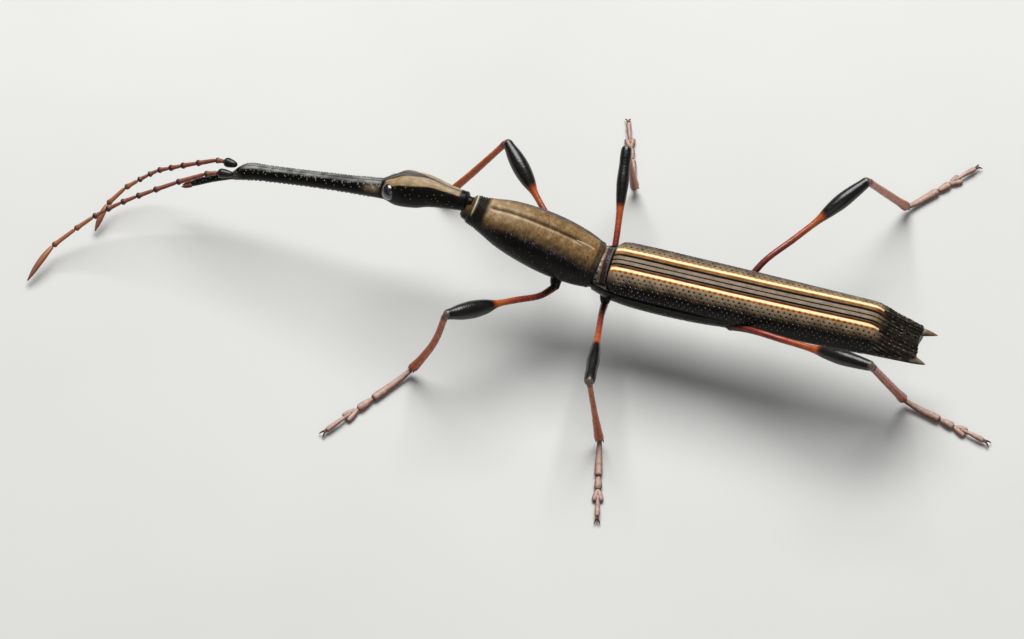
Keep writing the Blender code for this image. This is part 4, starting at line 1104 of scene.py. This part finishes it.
def ring_patch():
    row = np.linspace(-0.95, -0.02, 90)
    d, a = np.meshgrid(row, np.linspace(-math.pi, math.pi, 180, endpoint=False), indexing="ij")
    radius = RING_RADIUS * (1 - 0.25 * step(-0.15, -0.03, d))
    points = np.stack([d, radius * np.sin(a), RING_RISE + radius * np.cos(a)], axis=-1) + BASE
    height = 0.012 * wobble(300, 0.25, d, a * RING_RADIUS) - 0.02 * hill(d, -0.3, 0.03)
    side = np.abs(a)
    # Painted highlights: greyish and pale only on the ring's top side
    lit_upper = step(2.1, 1.2, side)
    return patch(
        raised(points, height),
        purple=plateau(d, -0.4, -0.18, 0.03),
        orange=0.8 * hill(d, -0.43, 0.03) * step(2.3, 1.8, side),
        grey=0.7 * plateau(d, -0.7, -0.46, 0.03) * lit_upper * (wobble(303, 0.3, d, a) > -0.4),
        pale=0.8 * step(1.0, 0.5, side) * (wobble(301, 0.25, d, a) > 0.3) * hill(d, -0.55, 0.12)
        + 0.35 * hill(d, -0.12, 0.03) * lit_upper,
    )


def make_underside(material):
    patches = [underside_patch(THORAX_SHAPE, 310), ring_patch()]
    make_piece("breast", patches, material, "black_shell", "pterothorax")
    belly = underside_patch(ABDOMEN_SHAPE, 340, VENTRITES)
    make_piece("belly", [belly], material, "black_shell", "abdomen")


# Floor, lights and camera

def make_floor():
    bpy.ops.mesh.primitive_plane_add(size=1.2)
    floor = bpy.context.object
    floor.name = "floor"
    made = Finish("floor_pale", Specular_IOR_Level=0.2, Roughness=0.75)
    colour = made.blend(made.patches(30.0), (0.6, 0.6, 0.58), (0.64, 0.64, 0.62))
    made.join(made.shader.inputs["Base Color"], colour)
    floor.data.materials.append(made.material)


def aim(obj, place, target):
    back = (Vector(place) - Vector(target)).normalized()
    right = Vector((0.0, 0.0, 1.0)).cross(back).normalized()
    up = back.cross(right)
    turn = Matrix((right, up, back)).transposed().to_4x4()
    obj.matrix_world = Matrix.Translation(Vector(place) * MM) @ turn


def add_light(name, place, size, power):
    light = bpy.data.lights.new(name, "AREA")
    light.shape = "SQUARE"
    light.size = size * MM
    light.energy = power
    obj = bpy.data.objects.new(name, light)
    bpy.context.scene.collection.objects.link(obj)
    aim(obj, place, (0.0, 0.0, 3.0))


def make_lights():
    for name, (place, size, power) in LAMPS.items():
        add_light(name, place, size, power)
    world = bpy.data.worlds.new("studio")
    world.use_nodes = True
    background = world.node_tree.nodes["Background"]
    background.inputs["Color"].default_value = (0.86, 0.88, 0.9, 1.0)
    background.inputs["Strength"].default_value = SKY_STRENGTH
    bpy.context.scene.world = world
    bpy.context.scene.view_settings.view_transform = "Standard"


def make_camera():
    elevation, azimuth = math.radians(CAMERA_ELEVATION), math.radians(CAMERA_AZIMUTH)
    level = math.cos(elevation)
    back = np.array((math.sin(azimuth) * level, -math.cos(azimuth) * level, math.sin(elevation)))
    camera = bpy.data.objects.new("camera", bpy.data.cameras.new("camera"))
    camera.data.lens = CAMERA_LENS
    camera.data.sensor_width = SENSOR_WIDTH
    camera.data.sensor_fit = "HORIZONTAL"
    camera.data.clip_start = 0.01
    bpy.context.scene.collection.objects.link(camera)
    aim(camera, np.array(CAMERA_TARGET) + back * CAMERA_DISTANCE, CAMERA_TARGET)
    bpy.context.scene.camera = camera


def dress_body():
    black, bronze, wing = black_shell_material(), bronze_material(), elytra_material()
    horn = horn_material()
    make_elytra(wing)
    make_underside(black)
    make_prothorax(bronze)
    make_head(bronze)
    make_rostrum(black)
    make_eyes(eye_material())
    make_mandibles(horn)
    leg, tarsus = leg_material(), tarsus_material()
    for pair, side_name in POSE:
        make_coxa(pair, side_name, black)
        make_femur(pair, side_name, leg)
        make_tibia(pair, side_name, leg)
        make_tarsus(pair, side_name, tarsus)
        make_claws(pair, side_name, horn)
    red_brown = antenna_material("antenna_red_brown", (0.3, 0.075, 0.026), (0.13, 0.028, 0.011))
    scape_black = antenna_material("antenna_black", (0.008, 0.006, 0.006), (0.005, 0.004, 0.004))
    for side_name in SIDES:
        make_scape(side_name, scape_black)
        make_funicle(side_name, red_brown)
        make_club(side_name, red_brown)


make_camera()
make_lights()
make_floor()
dress_body()
